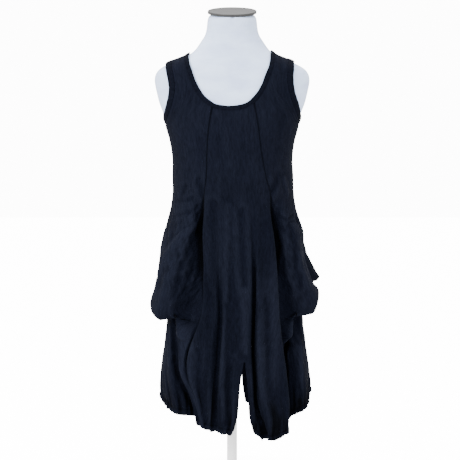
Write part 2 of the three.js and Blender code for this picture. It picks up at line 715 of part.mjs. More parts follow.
// A side panel's grid, a row at a time from the shoulder seam down to the hem.
function sideGrid(name, behind) {
  const hand = HANDS[name];
  const fromSeam = behind ? -hand : hand; // the way round from the princess seam to the side
  const side = sideAngle(name);
  const share = POUCH_SHARE[behind ? 'back' : 'front'][name];
  const depthShare = behind ? BACK_DEPTH_SHARE : 1;
  const skirtName = behind ? OTHER[name] : name;
  const tracks = (rows, names) => names.map((line) => column(rows, line));
  const pouchAt = tracks(POUCH_AT, POUCH_LINES);
  const pouchOut = tracks(behind ? POUCH_BACK : POUCH_FRONT, POUCH_LINES);
  const skirtAt = tracks(SKIRT_AT[skirtName], SKIRT_LINES);
  const skirtOut = tracks(SKIRT_OUT[skirtName], SKIRT_LINES);
  const [frontBottom, backBottom, tuck] = POUCH_BOTTOM.map((row) => SIDE_LINES.map((line) => row[line]));
  const bottom = behind ? backBottom : frontBottom;
  const seamDepth = (z) => depthShare * princessDepth[name](z);
  const placeAt = (z, at) => {
    const seam = princessAngle(name, behind, z);
    return { angle: seam + turnTo(seam, side) * at, z };
  };
  const spread = (lines, z) => [0, ...lines.map((line) => line(z)), 1];
  const pouch = (line, z) => {
    const outs = pouchOut.map((out) => (out(z) > 0 ? share : 1) * out(z));
    return {
      at: across(spread(pouchAt, z), line),
      out: across([seamDepth(z), ...outs, sideDepth(z)], line),
    };
  };
  const skirt = (line, z) => {
    const outs = skirtOut.map((out) => depthShare * out(z));
    return {
      at: across(spread(skirtAt, z), line),
      out: across([seamDepth(z), ...outs, 0], line),
    };
  };
  // The seam that a column lies on, if it lies on one.
  const seamOf = (line, z, out) => {
    if (line === 0) return seamAt(fromSeam, out);
    if (line === SIDE_LINES.length - 1) return { inwards: -fromSeam, mitre: 1 };
    return null;
  };
  const hung = (line, z, at, out) => gridPoint(placeAt(z, at), out, seamOf(line, z, out));

  const grid = [];
  const bodiceAt = spread(pouchAt, WAIST);
  const necks = neckSteps(name, behind);
  const early = behind ? GUIDE_LAG : -GUIDE_LAG;
  const strap = armSteps(name, behind).map((position, row) => {
    const inner = readAt(neck.cut, necks[row]);
    const outer = readAt(arms[name].cut, position);
    const down = row / ARMHOLE_STEPS;
    const square = readAt(arms[name].guide, position + early * down ** 2);
    const guide = between(between(inner, outer, 0.5), square, Math.min(1, 2 * down));
    return SIDE_COLUMNS.map((line, i) => {
      const level = i / (SIDE_COLUMNS.length - 1);
      const at = THREE.MathUtils.lerp(level, across(bodiceAt, line), down);
      return between(between(inner, guide, at), between(guide, outer, at), at);
    });
  });
  strap.forEach((places, row) => {
    grid.push(places.map((place, i) => {
      if (row === 0) return gridPoint(place, 0, { inwards: behind ? hand : -hand, mitre: 1 });
      return gridPoint(place, 0, row === ARMHOLE_STEPS ? seamOf(SIDE_COLUMNS[i], place.z, 0) : null);
    }));
  });
  const lowest = strap[ARMHOLE_STEPS].map(({ angle, z }) => {
    const seam = princessAngle(name, behind, z);
    return { at: turnTo(seam, angle) / turnTo(seam, side), z };
  });
  for (let row = 1; row <= BODICE_STEPS; row += 1) {
    const part = row / BODICE_STEPS;
    grid.push(SIDE_COLUMNS.map((line, i) => {
      const at = THREE.MathUtils.lerp(lowest[i].at, across(bodiceAt, line), part);
      return hung(line, THREE.MathUtils.lerp(lowest[i].z, WAIST, part), at, 0);
    }));
  }
  for (const z of DRAPE_HEIGHTS) {
    grid.push(SIDE_COLUMNS.map((line) => {
      const { at, out } = pouch(line, z);
      return hung(line, z, at, out);
    }));
  }
  // The pouch's lower part, the fold at its bottom, the tuck inside it, and the skirt's top.
  const lastHeight = DRAPE_HEIGHTS[DRAPE_HEIGHTS.length - 1];
  const folded = SIDE_COLUMNS.map((line) => {
    const tucked = across(tuck, line);
    const low = across(bottom, line);
    const top = low + TUCK_HEIGHT;
    const rises = [FOLD_RADIUS, 0, FOLD_RADIUS, -TUCK_RADIUS, 0, -TUCK_RADIUS];
    const heights = TUCK_HEIGHTS.map((plain, i) => {
      return THREE.MathUtils.lerp(plain, (i < 3 ? low : top) + rises[i], tucked);
    });
    const start = pouch(line, heights[0]);
    const end = skirt(line, heights[5]);
    const back = [0, FOLD_RADIUS, 2 * FOLD_RADIUS];
    const forth = [2 * TUCK_RADIUS, TUCK_RADIUS, 0];
    const outs = heights.map((_, i) => {
      const plain = THREE.MathUtils.lerp(start.out, end.out, i / 5);
      const inTuck = i < 3 ? start.out - back[i] : end.out + forth[i - 3];
      return THREE.MathUtils.lerp(plain, inTuck, tucked);
    });
    const shift = [0, 0, 0.25, 0.75, 1, 1];
    const ats = heights.map((_, i) => THREE.MathUtils.lerp(start.at, end.at, shift[i]));
    return { line, heights, outs, ats };
  });
  for (let row = 1; row < POUCH_STEPS; row += 1) {
    grid.push(folded.map(({ line, heights }) => {
      const z = THREE.MathUtils.lerp(lastHeight, heights[0], row / POUCH_STEPS);
      const { at, out } = pouch(line, z);
      return hung(line, z, at, out);
    }));
  }
  const firstRow = grid.length;
  for (let row = 0; row < TUCK_HEIGHTS.length; row += 1) {
    grid.push(folded.map(({ line, heights, outs, ats }) => hung(line, heights[row], ats[row], outs[row])));
  }
  straighten(grid.slice(firstRow).map((line) => line[0]));
  for (let row = 1; row <= SKIRT_STEPS; row += 1) {
    grid.push(folded.map(({ line, heights }) => {
      const z = THREE.MathUtils.lerp(heights[5], SLIT_TOP, row / SKIRT_STEPS);
      const { at, out } = skirt(line, z);
      return hung(line, z, at, out);
    }));
  }
  for (const part of HEM_STEPS) {
    grid.push(SIDE_COLUMNS.map((line) => {
      const hem = hemAt(placeAt(HEM_LEVEL, across(spread(skirtAt, HEM_LEVEL), line)).angle);
      const z = THREE.MathUtils.lerp(SLIT_TOP, hem, part);
      const { at, out } = skirt(line, z);
      return hung(line, z, at, out);
    }));
  }
  return { grid, hand: fromSeam };
}

function hemAt(angle) {
  return hemHeight(THREE.MathUtils.radToDeg(turnTo(0, angle)));
}

// Where a line lies across the centre front (0 to 1), or its twin across the back.
function acrossCentre(row, behind) {
  const { top, waist, hip, slit, skirt, hem } = CENTRE_HEIGHTS;
  const { degToRad, radToDeg } = THREE.MathUtils;
  const edges = (z) => [princessAngle('right', false, z), princessAngle('left', false, z)];
  const above = track([
    [top, row.top],
    [waist, row.waist],
    [hip, row.hip],
  ]);
  const [hipRight, hipLeft] = edges(hip).map(radToDeg);
  const below = track([
    [hip, THREE.MathUtils.lerp(hipRight, hipLeft, row.hip)],
    [slit, row.slit],
    [skirt, row.skirt],
    [hem, row.hem],
  ]);
  return (z) => {
    const [right, left] = edges(z);
    const at = z > hip ? above(z) : (degToRad(below(z)) - right) / (left - right);
    return behind ? (1 - at) ** BACK_LEAN : at;
  };
}

// A centre panel's grid, a row at a time from the neckline down to the hem. Its columns run
// the way that angles grow, so the back's lines are the front's in the opposite order.
function centreGrid(behind) {
  const names = behind ? ['left', 'right'] : ['right', 'left'];
  const share = behind ? BACK_DEPTH_SHARE : 1;
  const slit = behind ? SLIT_BACK : SLIT_FRONT;
  const order = behind ? [...CENTRE_LINES].reverse() : CENTRE_LINES;
  const { top, waist, hip, slit: slitLevel, hem } = CENTRE_HEIGHTS;
  const lines = order.map((row) => ({
    line: row.line,
    at: acrossCentre(row, behind),
    out: track([
      [WAIST, 0],
      [waist, share * row.waistOut],
      [hip, share * row.hipOut],
      [slitLevel, share * row.slitOut],
      [hem, share * row.hemOut],
    ]),
  }));
  const depths = names.map((name) => (z) => share * princessDepth[name](z));
  const columns = [
    { line: 'seam', at: () => 0, out: depths[0] },
    ...lines,
    { line: 'seam', at: () => 1, out: depths[1] },
  ];
  const slitSides = names.map((name) => ({ line: `slit ${name}`, x: column(slit, name) }));
  const openEdge = (line, z) => (z < SLIT_TOP - 1 ? slitSides.find((edge) => edge.line === line) : null);
  const angleOf = (col, z) => {
    const edge = openEdge(col.line, z);
    if (edge && !behind) return angleAt(edge.x(z), z);
    if (edge) return Math.PI - 2 * TURN - angleAt(edge.x(z), z);
    const first = princessAngle(names[0], behind, z);
    return first + turnTo(first, princessAngle(names[1], behind, z)) * col.at(z);
  };
  const seamOf = (i, out) => {
    if (i === 0) return seamAt(1, out);
    if (i === columns.length - 1) return seamAt(-1, out);
    return null;
  };
  const hung = (col, i, z) => {
    const out = col.out(z);
    return gridPoint({ angle: angleOf(col, z), z }, out, seamOf(i, out));
  };
  const positions = centreSteps(behind, columns.map((col) => col.at(top)));
  const necks = positions.map((position) => readAt(neck.cut, position));
  const grid = [necks.map((place, i) => gridPoint(place, 0, seamOf(i, 0)))];
  for (let row = 1; row <= BODICE_STEPS; row += 1) {
    grid.push(columns.map((col, i) => {
      const z = THREE.MathUtils.lerp(necks[i].z, WAIST, row / BODICE_STEPS);
      return hung(col, i, z);
    }));
  }
  const lastHeight = DRAPE_HEIGHTS[DRAPE_HEIGHTS.length - 1];
  const [firstTuck] = TUCK_HEIGHTS;
  const lastTuck = TUCK_HEIGHTS[TUCK_HEIGHTS.length - 1];
  const heights = [...DRAPE_HEIGHTS];
  for (let row = 1; row <= POUCH_STEPS; row += 1) {
    heights.push(THREE.MathUtils.lerp(lastHeight, firstTuck, row / POUCH_STEPS));
  }
  for (let row = 0; row <= SKIRT_STEPS; row += 1) {
    heights.push(THREE.MathUtils.lerp(lastTuck, SLIT_TOP, row / SKIRT_STEPS));
  }
  for (const z of heights) grid.push(columns.map((col, i) => hung(col, i, z)));
  const slitRow = grid.length - 1;
  for (const part of HEM_STEPS) {
    grid.push(columns.map((col, i) => {
      const corner = col.line.startsWith('slit') ? SLIT_CORNER : 0;
      const low = hemAt(angleOf(col, HEM_LEVEL)) + corner;
      return hung(col, i, THREE.MathUtils.lerp(SLIT_TOP, low, part));
    }));
  }
  const slitColumn = columns.findIndex((col) => col.line.startsWith('slit'));
  const isOpen = (row, col) => row >= slitRow && col === slitColumn;
  return { grid, hand: 1, isOpen };
}

// A wall of knit on a grid: its inner side is the grid, and its outer side is moved out by the
// wall's thickness. Cells that are open are left out, and every free edge is closed by a rim.
function wallGeometry({ grid, hand, isOpen = () => false }) {
  const rows = grid.length - 1;
  const cols = grid[0].length - 1;
  const present = (row, col) => row >= 0 && col >= 0 && row < rows && col < cols && !isOpen(row, col);
  const at = (row, col) => grid[row][col].point;
  const faceNormal = (row, col) => {
    const down = at(row + 1, col + 1).clone().sub(at(row, col));
    const up = at(row, col + 1).clone().sub(at(row + 1, col));
    return down.cross(up).multiplyScalar(hand).normalize();
  };
  const outerPoint = (row, col) => {
    const { point, along, outwards, mitre, hanging: free } = grid[row][col];
    const faces = [[row, col], [row - 1, col], [row, col - 1], [row - 1, col - 1]]
      .filter((cell) => present(...cell))
      .map((cell) => faceNormal(...cell));
    const normal = faces.reduce((sum, face) => sum.add(face), new THREE.Vector3()).normalize();
    const spread = faces.reduce((sum, face) => sum + face.dot(normal), 0) / faces.length;
    let length = Math.min(MOST_MITRE, 1 / spread);
    if (mitre > 0) {
      const above = at(Math.max(0, row - 1), col);
      const below = at(Math.min(rows, row + 1), col);
      normal.copy(along).cross(above.clone().sub(below)).normalize();
      length = mitre;
    }
    const direction = outwards.clone().lerp(normal, free).normalize();
    return point.clone().addScaledVector(direction, WALL * THREE.MathUtils.lerp(1, length, free));
  };
  const vertices = [];
  const corner = grid.map((line, row) => line.map((_, col) => {
    vertices.push(outerPoint(row, col), at(row, col));
    return vertices.length - 2;
  }));
  const faces = [];
  const quad = (a, b, c, d) => {
    if (hand > 0) faces.push([a, b, d], [b, c, d]);
    else faces.push([a, d, b], [b, d, c]);
  };
  for (let row = 0; row < rows; row += 1) {
    for (let col = 0; col < cols; col += 1) {
      if (!present(row, col)) continue;
      const a = corner[row][col];
      const b = corner[row + 1][col];
      const c = corner[row + 1][col + 1];
      const d = corner[row][col + 1];
      quad(a, b, c, d);
      quad(a + 1, d + 1, c + 1, b + 1);
      if (!present(row, col - 1)) quad(a, a + 1, b + 1, b);
      if (!present(row + 1, col)) quad(b, b + 1, c + 1, c);
      if (!present(row, col + 1)) quad(c, c + 1, d + 1, d);
      if (!present(row - 1, col)) quad(d, d + 1, a + 1, a);
    }
  }
  return meshGeometry(vertices, faces);
}

function meshGeometry(vertices, faces) {
  const used = new Map();
  const points = [];
  const indices = faces.flat().map((vertex) => {
    if (!used.has(vertex)) {
      used.set(vertex, used.size);
      points.push(vertices[vertex]);
    }
    return used.get(vertex);
  });
  const geometry = new THREE.BufferGeometry().setFromPoints(points);
  geometry.setIndex(indices);
  geometry.computeVertexNormals();
  return geometry;
}

// A closed band along an opening: five corners at each place, from its seam to its free edge.
function bandGeometry(band, positions, hand) {
  const sections = positions.map((position) => {
    const seam = readAt(band.seam, position);
    const edge = readAt(band.edge, position);
    const middle = between(seam, edge, 0.5);
    return [
      dressPoint(seam, 0),
      dressPoint(seam, BAND_WALL),
      dressPoint(middle, BAND_WALL + BAND_CROWN),
      dressPoint(edge, BAND_WALL),
      dressPoint(edge, 0),
    ];
  });
  const size = sections[0].length;
  const faces = [];
  sections.forEach((_, i) => {
    const next = (i + 1) % sections.length;
    for (let k = 0; k < size; k += 1) {
      const a = i * size + k;
      const b = i * size + ((k + 1) % size);
      const c = next * size + ((k + 1) % size);
      const d = next * size + k;
      if (hand > 0) faces.push([a, b, c], [a, c, d]);
      else faces.push([a, c, b], [a, d, c]);
    }
  });
  return meshGeometry(sections.flat(), faces);
}

// Positions of a band's sections, the same as the columns and rows of the panels it borders.

function neckPositions() {
  const quarter = (name, behind) => {
    const found = neckSteps(name, behind);
    return (name === 'right') !== behind ? found : found.reverse();
  };
  const centre = (behind) => {
    const order = behind ? [...CENTRE_LINES].reverse() : CENTRE_LINES;
    return centreSteps(behind, order.map((row) => acrossCentre(row, behind)(CENTRE_HEIGHTS.top)));
  };
  return [
    ...quarter('right', false),
    ...centre(false),
    ...quarter('left', false),
    ...quarter('left', true).slice(1),
    ...centre(true),
    ...quarter('right', true).slice(0, -1),
  ];
}

function armPositions(name) {
  return [...armSteps(name, false), ...armSteps(name, true).reverse().slice(1, -1)];
}

// The form and its stand

function formGeometry() {
  const angles = Array.from({ length: FORM_SEGMENTS }, (_, i) => (2 * Math.PI * i) / FORM_SEGMENTS);
  const vertices = [];
  FORM_RINGS.forEach((ring) => angles.forEach((angle) => vertices.push(formPoint(angle, ring.z))));
  const faces = [];
  for (let row = 0; row < FORM_RINGS.length - 1; row += 1) {
    for (let i = 0; i < FORM_SEGMENTS; i += 1) {
      const next = (i + 1) % FORM_SEGMENTS;
      const a = row * FORM_SEGMENTS + i;
      const b = a + FORM_SEGMENTS;
      const c = (row + 1) * FORM_SEGMENTS + next;
      const d = row * FORM_SEGMENTS + next;
      faces.push([a, b, c], [a, c, d]);
    }
  }
  const bottomStart = (FORM_RINGS.length - 1) * FORM_SEGMENTS;
  for (let i = 1; i < FORM_SEGMENTS - 1; i += 1) {
    faces.push([0, i, i + 1]);
    faces.push([bottomStart, bottomStart + i + 1, bottomStart + i]);
  }
  return meshGeometry(vertices, faces);
}

// The disc on top of the neck, in the neck's tilted plane.
function neckPlateGeometry() {
  const [top] = FORM_RINGS;
  const middle = (top.back - top.front) / 2;
  const reach = (top.back + top.front) / 2 / Math.cos(NECK_TILT);
  const outline = new THREE.Shape();
  outline.absellipse(0, 0, top.side, reach, 0, 2 * Math.PI);
  const options = { depth: NECK_PLATE_THICKNESS, bevelEnabled: false, curveSegments: ROUND_SEGMENTS };
  const geometry = new THREE.ExtrudeGeometry(outline, options);
  geometry.translate(0, 0, SEAM_GAP);
  geometry.rotateX(NECK_TILT);
  geometry.translate(0, middle, top.z + middle * Math.tan(NECK_TILT));
  return geometry;
}

function turned(profile) {
  const points = profile.map(([radius, height]) => new THREE.Vector2(radius, height));
  const geometry = new THREE.LatheGeometry(points, ROUND_SEGMENTS);
  geometry.rotateX(Math.PI / 2);
  return geometry;
}

function poleGeometry() {
  const bottom = FOOT_THICKNESS + SEAM_GAP;
  const top = FORM_RINGS[FORM_RINGS.length - 1].z - SEAM_GAP;
  return turned([
    [0, bottom],
    [POLE_RADIUS, bottom],
    [POLE_RADIUS, top - FLANGE_THICKNESS],
    [FLANGE_RADIUS, top - FLANGE_THICKNESS],
    [FLANGE_RADIUS, top],
    [0, top],
  ]);
}

function footGeometry() {
  return turned([
    [0, 0],
    [FOOT_RADIUS, 0],
    [FOOT_RADIUS, FOOT_THICKNESS - FOOT_EDGE],
    [FOOT_RADIUS - FOOT_EDGE, FOOT_THICKNESS],
    [0, FOOT_THICKNESS],
  ]);
}

// The model

const model = new THREE.Group();

function addPiece(name, geometry, color, roughness, metalness = 0) {
  const mesh = new THREE.Mesh(geometry, new THREE.MeshStandardMaterial({ color, roughness, metalness }));
  mesh.name = name;
  model.add(mesh);
}

addPiece('stand_base', footGeometry(), STAND_COLOUR, 0.45, 0.2);
addPiece('stand_pole', poleGeometry(), STAND_COLOUR, 0.45, 0.2);
addPiece('form_torso', formGeometry(), FORM_COLOUR, 0.85);
addPiece('neck_plate', neckPlateGeometry(), PLATE_COLOUR, 0.5);

for (const behind of [false, true]) {
  const half = behind ? 'back' : 'front';
  addPiece(`${half}_centre`, wallGeometry(centreGrid(behind)), KNIT_COLOUR, 0.9);
  for (const name of ['right', 'left']) {
    addPiece(`${half}_side_${name}`, wallGeometry(sideGrid(name, behind)), KNIT_COLOUR, 0.9);
  }
}

addPiece('neck_binding', bandGeometry(neck, neckPositions(), -1), BAND_COLOUR, 0.9);
for (const name of ['right', 'left']) {
  const band = bandGeometry(arms[name], armPositions(name), -HANDS[name]);
  addPiece(`armhole_binding_${name}`, band, BAND_COLOUR, 0.9);
}

export default model;
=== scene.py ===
# %% [markdown]
# # A draped knit dress on a dress form
#
# The dress is cut from six knit panels: a centre and two sides in front, and the same behind.
# Each side panel is folded into a deep pouch at the hip, and the hem is gathered on elastic.
# It hangs on a white limbless form, which stands on a pole.
#
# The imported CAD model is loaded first. It fixes every size and place, in metres, with +Z up.

import json
import math

import bmesh
import bpy
import numpy as np
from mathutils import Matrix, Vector
from mathutils.bvhtree import BVHTree

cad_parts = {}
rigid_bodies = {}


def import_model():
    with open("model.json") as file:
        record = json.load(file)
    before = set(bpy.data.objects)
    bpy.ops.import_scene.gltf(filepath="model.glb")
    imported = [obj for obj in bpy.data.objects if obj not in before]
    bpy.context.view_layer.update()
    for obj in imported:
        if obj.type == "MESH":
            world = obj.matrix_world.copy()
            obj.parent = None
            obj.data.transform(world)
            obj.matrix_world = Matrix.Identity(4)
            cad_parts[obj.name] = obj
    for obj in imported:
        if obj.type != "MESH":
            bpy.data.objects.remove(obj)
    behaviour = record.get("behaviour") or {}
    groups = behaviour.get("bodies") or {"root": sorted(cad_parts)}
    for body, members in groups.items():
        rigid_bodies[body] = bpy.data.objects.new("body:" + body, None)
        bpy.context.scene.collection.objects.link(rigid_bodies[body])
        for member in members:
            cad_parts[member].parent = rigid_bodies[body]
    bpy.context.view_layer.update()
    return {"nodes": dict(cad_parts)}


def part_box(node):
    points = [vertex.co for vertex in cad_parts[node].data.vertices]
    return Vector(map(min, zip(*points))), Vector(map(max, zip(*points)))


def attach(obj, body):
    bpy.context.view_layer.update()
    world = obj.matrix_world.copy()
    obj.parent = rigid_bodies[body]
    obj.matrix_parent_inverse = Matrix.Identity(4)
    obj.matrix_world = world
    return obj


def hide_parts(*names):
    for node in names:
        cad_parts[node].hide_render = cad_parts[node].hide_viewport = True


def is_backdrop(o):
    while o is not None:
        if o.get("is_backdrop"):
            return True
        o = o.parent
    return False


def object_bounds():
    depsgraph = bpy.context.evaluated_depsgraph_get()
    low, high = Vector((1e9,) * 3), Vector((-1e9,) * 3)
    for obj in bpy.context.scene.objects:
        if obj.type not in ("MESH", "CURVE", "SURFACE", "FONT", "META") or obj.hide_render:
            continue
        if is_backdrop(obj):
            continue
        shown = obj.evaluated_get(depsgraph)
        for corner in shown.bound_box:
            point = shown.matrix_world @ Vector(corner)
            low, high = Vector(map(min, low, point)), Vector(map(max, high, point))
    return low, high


for starter in list(bpy.data.objects):
    bpy.data.objects.remove(starter)

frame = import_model()
nodes = frame["nodes"]
print("nodes:", sorted(nodes))

# %% [markdown]
# ## Camera
#
# A long lens a few metres away, a little above the waist and tipped down by 8 degrees, keeps
# the dress's upright lines straight.

# %% Camera
MM = 0.001
AIM = Vector((-5 * MM, 0, 870 * MM))
CAMERA_DISTANCE = 2.6
CAMERA_TILT = math.radians(8)
FRAME_WIDTH = 1113 * MM  # how wide a view the camera takes in, at the aim


def linked(name, data):
    """A new object in the scene, made of this data."""
    made = bpy.data.objects.new(name, data)
    bpy.context.scene.collection.objects.link(made)
    return made


camera_data = bpy.data.cameras.new("Camera")
camera_data.sensor_width = 36
camera_data.lens = camera_data.sensor_width * CAMERA_DISTANCE / FRAME_WIDTH
camera = linked("Camera", camera_data)
back_and_up = Vector((0, -math.cos(CAMERA_TILT), math.sin(CAMERA_TILT)))
camera.location = AIM + CAMERA_DISTANCE * back_and_up
camera.rotation_euler = (math.pi / 2 - CAMERA_TILT, 0, 0)
bpy.context.scene.camera = camera
print("lens:", round(camera_data.lens, 1), "mm")

# %% [markdown]
# ## Floor and light
#
# The form stands on a pale floor in front of a blown-out white cyclorama. Three large area
# lights and a dimmer white world give the soft light of a catalogue studio. The background
# that is seen is brighter than the light that it gives, as behind a burnt-out backdrop.

# %% Floor
FLOOR_SIZE = 14

bpy.ops.object.select_all(action="DESELECT")
bpy.ops.mesh.primitive_plane_add(size=FLOOR_SIZE)
floor = bpy.context.object
floor.name = "floor"
floor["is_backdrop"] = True
print("floor:", FLOOR_SIZE, "m across")

# %% Lights
# Name, place, size in metres and power in watts.
LIGHTS = [
    ("key_light", (-2.0, -2.0, 2.7), 1.4, 150),
    ("fill_light", (2.4, -1.8, 1.9), 1.6, 30),
    ("top_light", (0, 0.4, 3.2), 1.8, 60),
]


def area_light(name, place, size, watts):
    """A square soft light at a place, turned to face the dress."""
    data = bpy.data.lights.new(name, "AREA")
    data.size = size
    data.energy = watts
    light = linked(name, data)
    light.location = place
    light.rotation_euler = (AIM - Vector(place)).to_track_quat("-Z", "Y").to_euler()


for light in LIGHTS:
    area_light(*light)
print("lights:", [name for name, *_ in LIGHTS])

# %% Backdrop
WORLD_LIGHT = 1.9
BACKDROP_WHITE = 13

world = bpy.data.worlds.new("Studio")
bpy.context.scene.world = world
world.use_nodes = True
sky = world.node_tree
rays = sky.nodes.new("ShaderNodeLightPath")
strength = sky.nodes.new("ShaderNodeMapRange")
strength.inputs["To Min"].default_value = WORLD_LIGHT
strength.inputs["To Max"].default_value = BACKDROP_WHITE
sky.links.new(rays.outputs["Is Camera Ray"], strength.inputs["Value"])
sky.links.new(strength.outputs["Result"], sky.nodes["Background"].inputs["Strength"])
sky.nodes["Background"].inputs["Color"].default_value = (1, 1, 1, 1)
print("world light:", WORLD_LIGHT, "seen as:", BACKDROP_WHITE)

# %% [markdown]
# ## Shader arithmetic
#
# A material is a graph of nodes. Wrapping a socket in a small class lets a formula be written
# as a formula: each operator adds one Math node.

# %% A socket to do sums with


class Value:
    """A shader socket that ordinary arithmetic works on."""

    def __init__(self, paint, socket):
        self.paint = paint
        self.socket = socket

    def maths(self, operation, *others, swap=False):
        inputs = [self, *others]
        if swap:
            inputs.reverse()
        return self.paint.node("ShaderNodeMath", {"operation": operation}, dict(enumerate(inputs)))

    def __add__(self, other):
        return self.maths("ADD", other)

    def __sub__(self, other):
        return self.maths("SUBTRACT", other)

    def __rsub__(self, other):
        return self.maths("SUBTRACT", other, swap=True)

    def __mul__(self, other):
        return self.maths("MULTIPLY", other)

    __radd__ = __add__
    __rmul__ = __mul__


# %% A material under construction
PLAIN_SPECULAR = 0.5


class Paint:
    """A material under construction: its nodes, and the shader that they feed."""

    def __init__(self, name, roughness, sheen=0.0, specular=PLAIN_SPECULAR):
        self.material = bpy.data.materials.new(name)
        self.material.use_nodes = True
        self.tree = self.material.node_tree
        self.shader = self.tree.nodes["Principled BSDF"]
        self.shader.inputs["Roughness"].default_value = roughness
        self.shader.inputs["Specular IOR Level"].default_value = specular
        self.shader.inputs["Sheen Weight"].default_value = sheen

    def node(self, kind, settings=None, inputs=None, output=0):
        """Any node: its settings first, then its sockets' values or links."""
        made = self.tree.nodes.new(kind)
        for name, setting in (settings or {}).items():
            if name == "stops":
                ramp = made.color_ramp.elements
                while len(ramp) < len(setting):
                    ramp.new(0.5)
                for element, (place, colour) in zip(ramp, setting):
                    element.position = place
                    element.color = (*colour, 1)
            else:
                setattr(made, name, setting)
        for name, value in (inputs or {}).items():
            socket = made.inputs[name]
            if isinstance(value, Value):
                self.tree.links.new(value.socket, socket)
            else:
                socket.default_value = value
        return Value(self, made.outputs[output])

    def place(self, kind):
        """Coordinates: Object, or UV for what follows the cloth."""
        return self.node("ShaderNodeTexCoord", output=kind)

    def noise(self, coordinates, scale, detail=3.0, roughness=0.5):
        """Soft spots, of one scale or of a scale for each way."""
        if isinstance(scale, tuple):
            inputs = {"Vector": coordinates, "Scale": scale}
            coordinates, scale = self.node("ShaderNodeMapping", None, inputs), 1.0
        inputs = {"Vector": coordinates, "Scale": scale, "Detail": detail, "Roughness": roughness}
        return self.node("ShaderNodeTexNoise", None, inputs)

    def attribute(self, name):
        """A number that each point of the piece carries."""
        return self.node("ShaderNodeAttribute", {"attribute_name": name}, output="Fac")

    def mix(self, factor, first, second):
        """One colour changing into another."""
        inputs = {0: factor, 6: first, 7: second}
        return self.node("ShaderNodeMix", {"data_type": "RGBA"}, inputs, output=2)

    def ramp(self, factor, stops):
        return self.node("ShaderNodeValToRGB", {"stops": stops}, {"Fac": factor})

    def feed(self, socket, value):
        self.tree.links.new(value.socket, self.shader.inputs[socket])

    def bump(self, height, distance):
        """Relief too small to model, whose height of 1 stands this many metres out."""
        inputs = {"Height": height, "Distance": distance, "Strength": 1.0}
        self.feed("Normal", self.node("ShaderNodeBump", None, inputs))


def grey(level):
    return (level, level, level)


def spotted(paint, scale, detail, dark, light):
    """Gives a paint soft spots of two greys, and hands over the noise they come from."""
    spots = paint.noise(paint.place("Object"), scale, detail)
    paint.feed("Base Color", paint.ramp(spots, [(0.3, grey(dark)), (0.7, grey(light))]))
    return spots


# %% [markdown]
# ## The floor's paint
#
# Round the foot the floor shows its shadow. Further out it burns out into the backdrop.

# %% Floor material
FLOOR_SHADOW = 0.25  # how far from the foot the floor still looks like a floor, in metres
FLOOR_BURNT = 0.85  # how far out it has turned white

floor_paint = Paint("Pale floor", roughness=0.9)
spotted(floor_paint, 3.0, 3.0, 0.86, 0.88)
inputs = {0: floor_paint.place("Object")}
from_foot = floor_paint.node("ShaderNodeVectorMath", {"operation": "LENGTH"}, inputs, "Value")
inputs = {"Value": from_foot, "From Min": FLOOR_SHADOW, "From Max": FLOOR_BURNT}
far = floor_paint.node("ShaderNodeMapRange", None, inputs)
seen = floor_paint.node("ShaderNodeLightPath", output="Is Camera Ray")
floor_paint.feed("Emission Color", floor_paint.mix(seen, (0, 0, 0, 1), far))
floor_paint.shader.inputs["Emission Strength"].default_value = BACKDROP_WHITE
floor.data.materials.append(floor_paint.material)
print("floor nodes:", len(floor_paint.tree.nodes))

# %% [markdown]
# ## Knit
#
# The dress is a fine navy jersey, washed until it crinkles along its wales, the knit's upright
# ribs. Every panel has a UV map in metres, across and down the cloth, so the ribs follow it
# into the folds. Colour and relief come from the same few noises. Each point of the cloth also
# carries two numbers, worked out from its folds further down. The first paints shade into the
# colour, near black deep in the folds and along the seams. The second paints the open ridges
# paler, partly as wear and partly as a painted highlight.

# %% Knit material
KNIT_DARK = (0.0011, 0.0015, 0.0037)
KNIT_LIGHT = (0.0032, 0.0041, 0.0092)
# Painted shade: the near-black colour of the knit deep in folds and along seams.
KNIT_PAINTED_SHADE = (0.00003, 0.00005, 0.00008, 1)
# Wear and painted highlight: the paler knit of open, raised ridges.
KNIT_WEAR_AND_HIGHLIGHT = (0.0080, 0.0096, 0.0176, 1)
BINDING_LIGHT = (0.0034, 0.0042, 0.0088)
KNIT_SPECULAR = 0.04
# How many bumps there are to a metre, across and down the cloth.
CRINKLES = (260, 52, 1)
RIBS = (620, 120, 1)
BINDING_RIBS = (700, 90, 1)


def knit_material():
    """The dress's knit."""
    paint = Paint("Crinkled navy knit", roughness=0.95, specular=KNIT_SPECULAR)
    cloth = paint.place("UV")
    crinkle = paint.noise(cloth, CRINKLES, 4.0, 0.6)
    ribs = paint.noise(cloth, RIBS, 2.0, 0.5)
    patches = paint.noise(cloth, 14.0, 3.0, 0.6)
    tone = crinkle * 0.55 + ribs * 0.3 + patches * 0.15
    colour = paint.ramp(tone, [(0.36, KNIT_DARK), (0.64, KNIT_LIGHT)])
    # Wear and painted highlight: the crinkle's ridges turn paler where the cloth is open and
    # raised.
    colour = paint.mix(paint.attribute("Worn") * crinkle, colour, KNIT_WEAR_AND_HIGHLIGHT)
    # Painted shade: the colour turns near black deep in the folds and along the seams.
    colour = paint.mix(paint.attribute("Shade"), colour, KNIT_PAINTED_SHADE)
    paint.feed("Base Color", colour)
    paint.bump(crinkle * 0.7 + ribs * 0.3, 0.0016)
    return paint.material


def binding_material():
    """The smoother, doubled knit of the bands."""
    paint = Paint("Navy binding knit", roughness=0.95, specular=KNIT_SPECULAR)
    ribs = paint.noise(paint.place("UV"), BINDING_RIBS, 3.0, 0.6)
    paint.feed("Base Color", paint.ramp(ribs, [(0.35, KNIT_DARK), (0.7, BINDING_LIGHT)]))
    paint.bump(ribs, 0.0006)
    return paint.material


knit = knit_material()
binding = binding_material()
print("cloth materials:", knit.name, "and", binding.name)

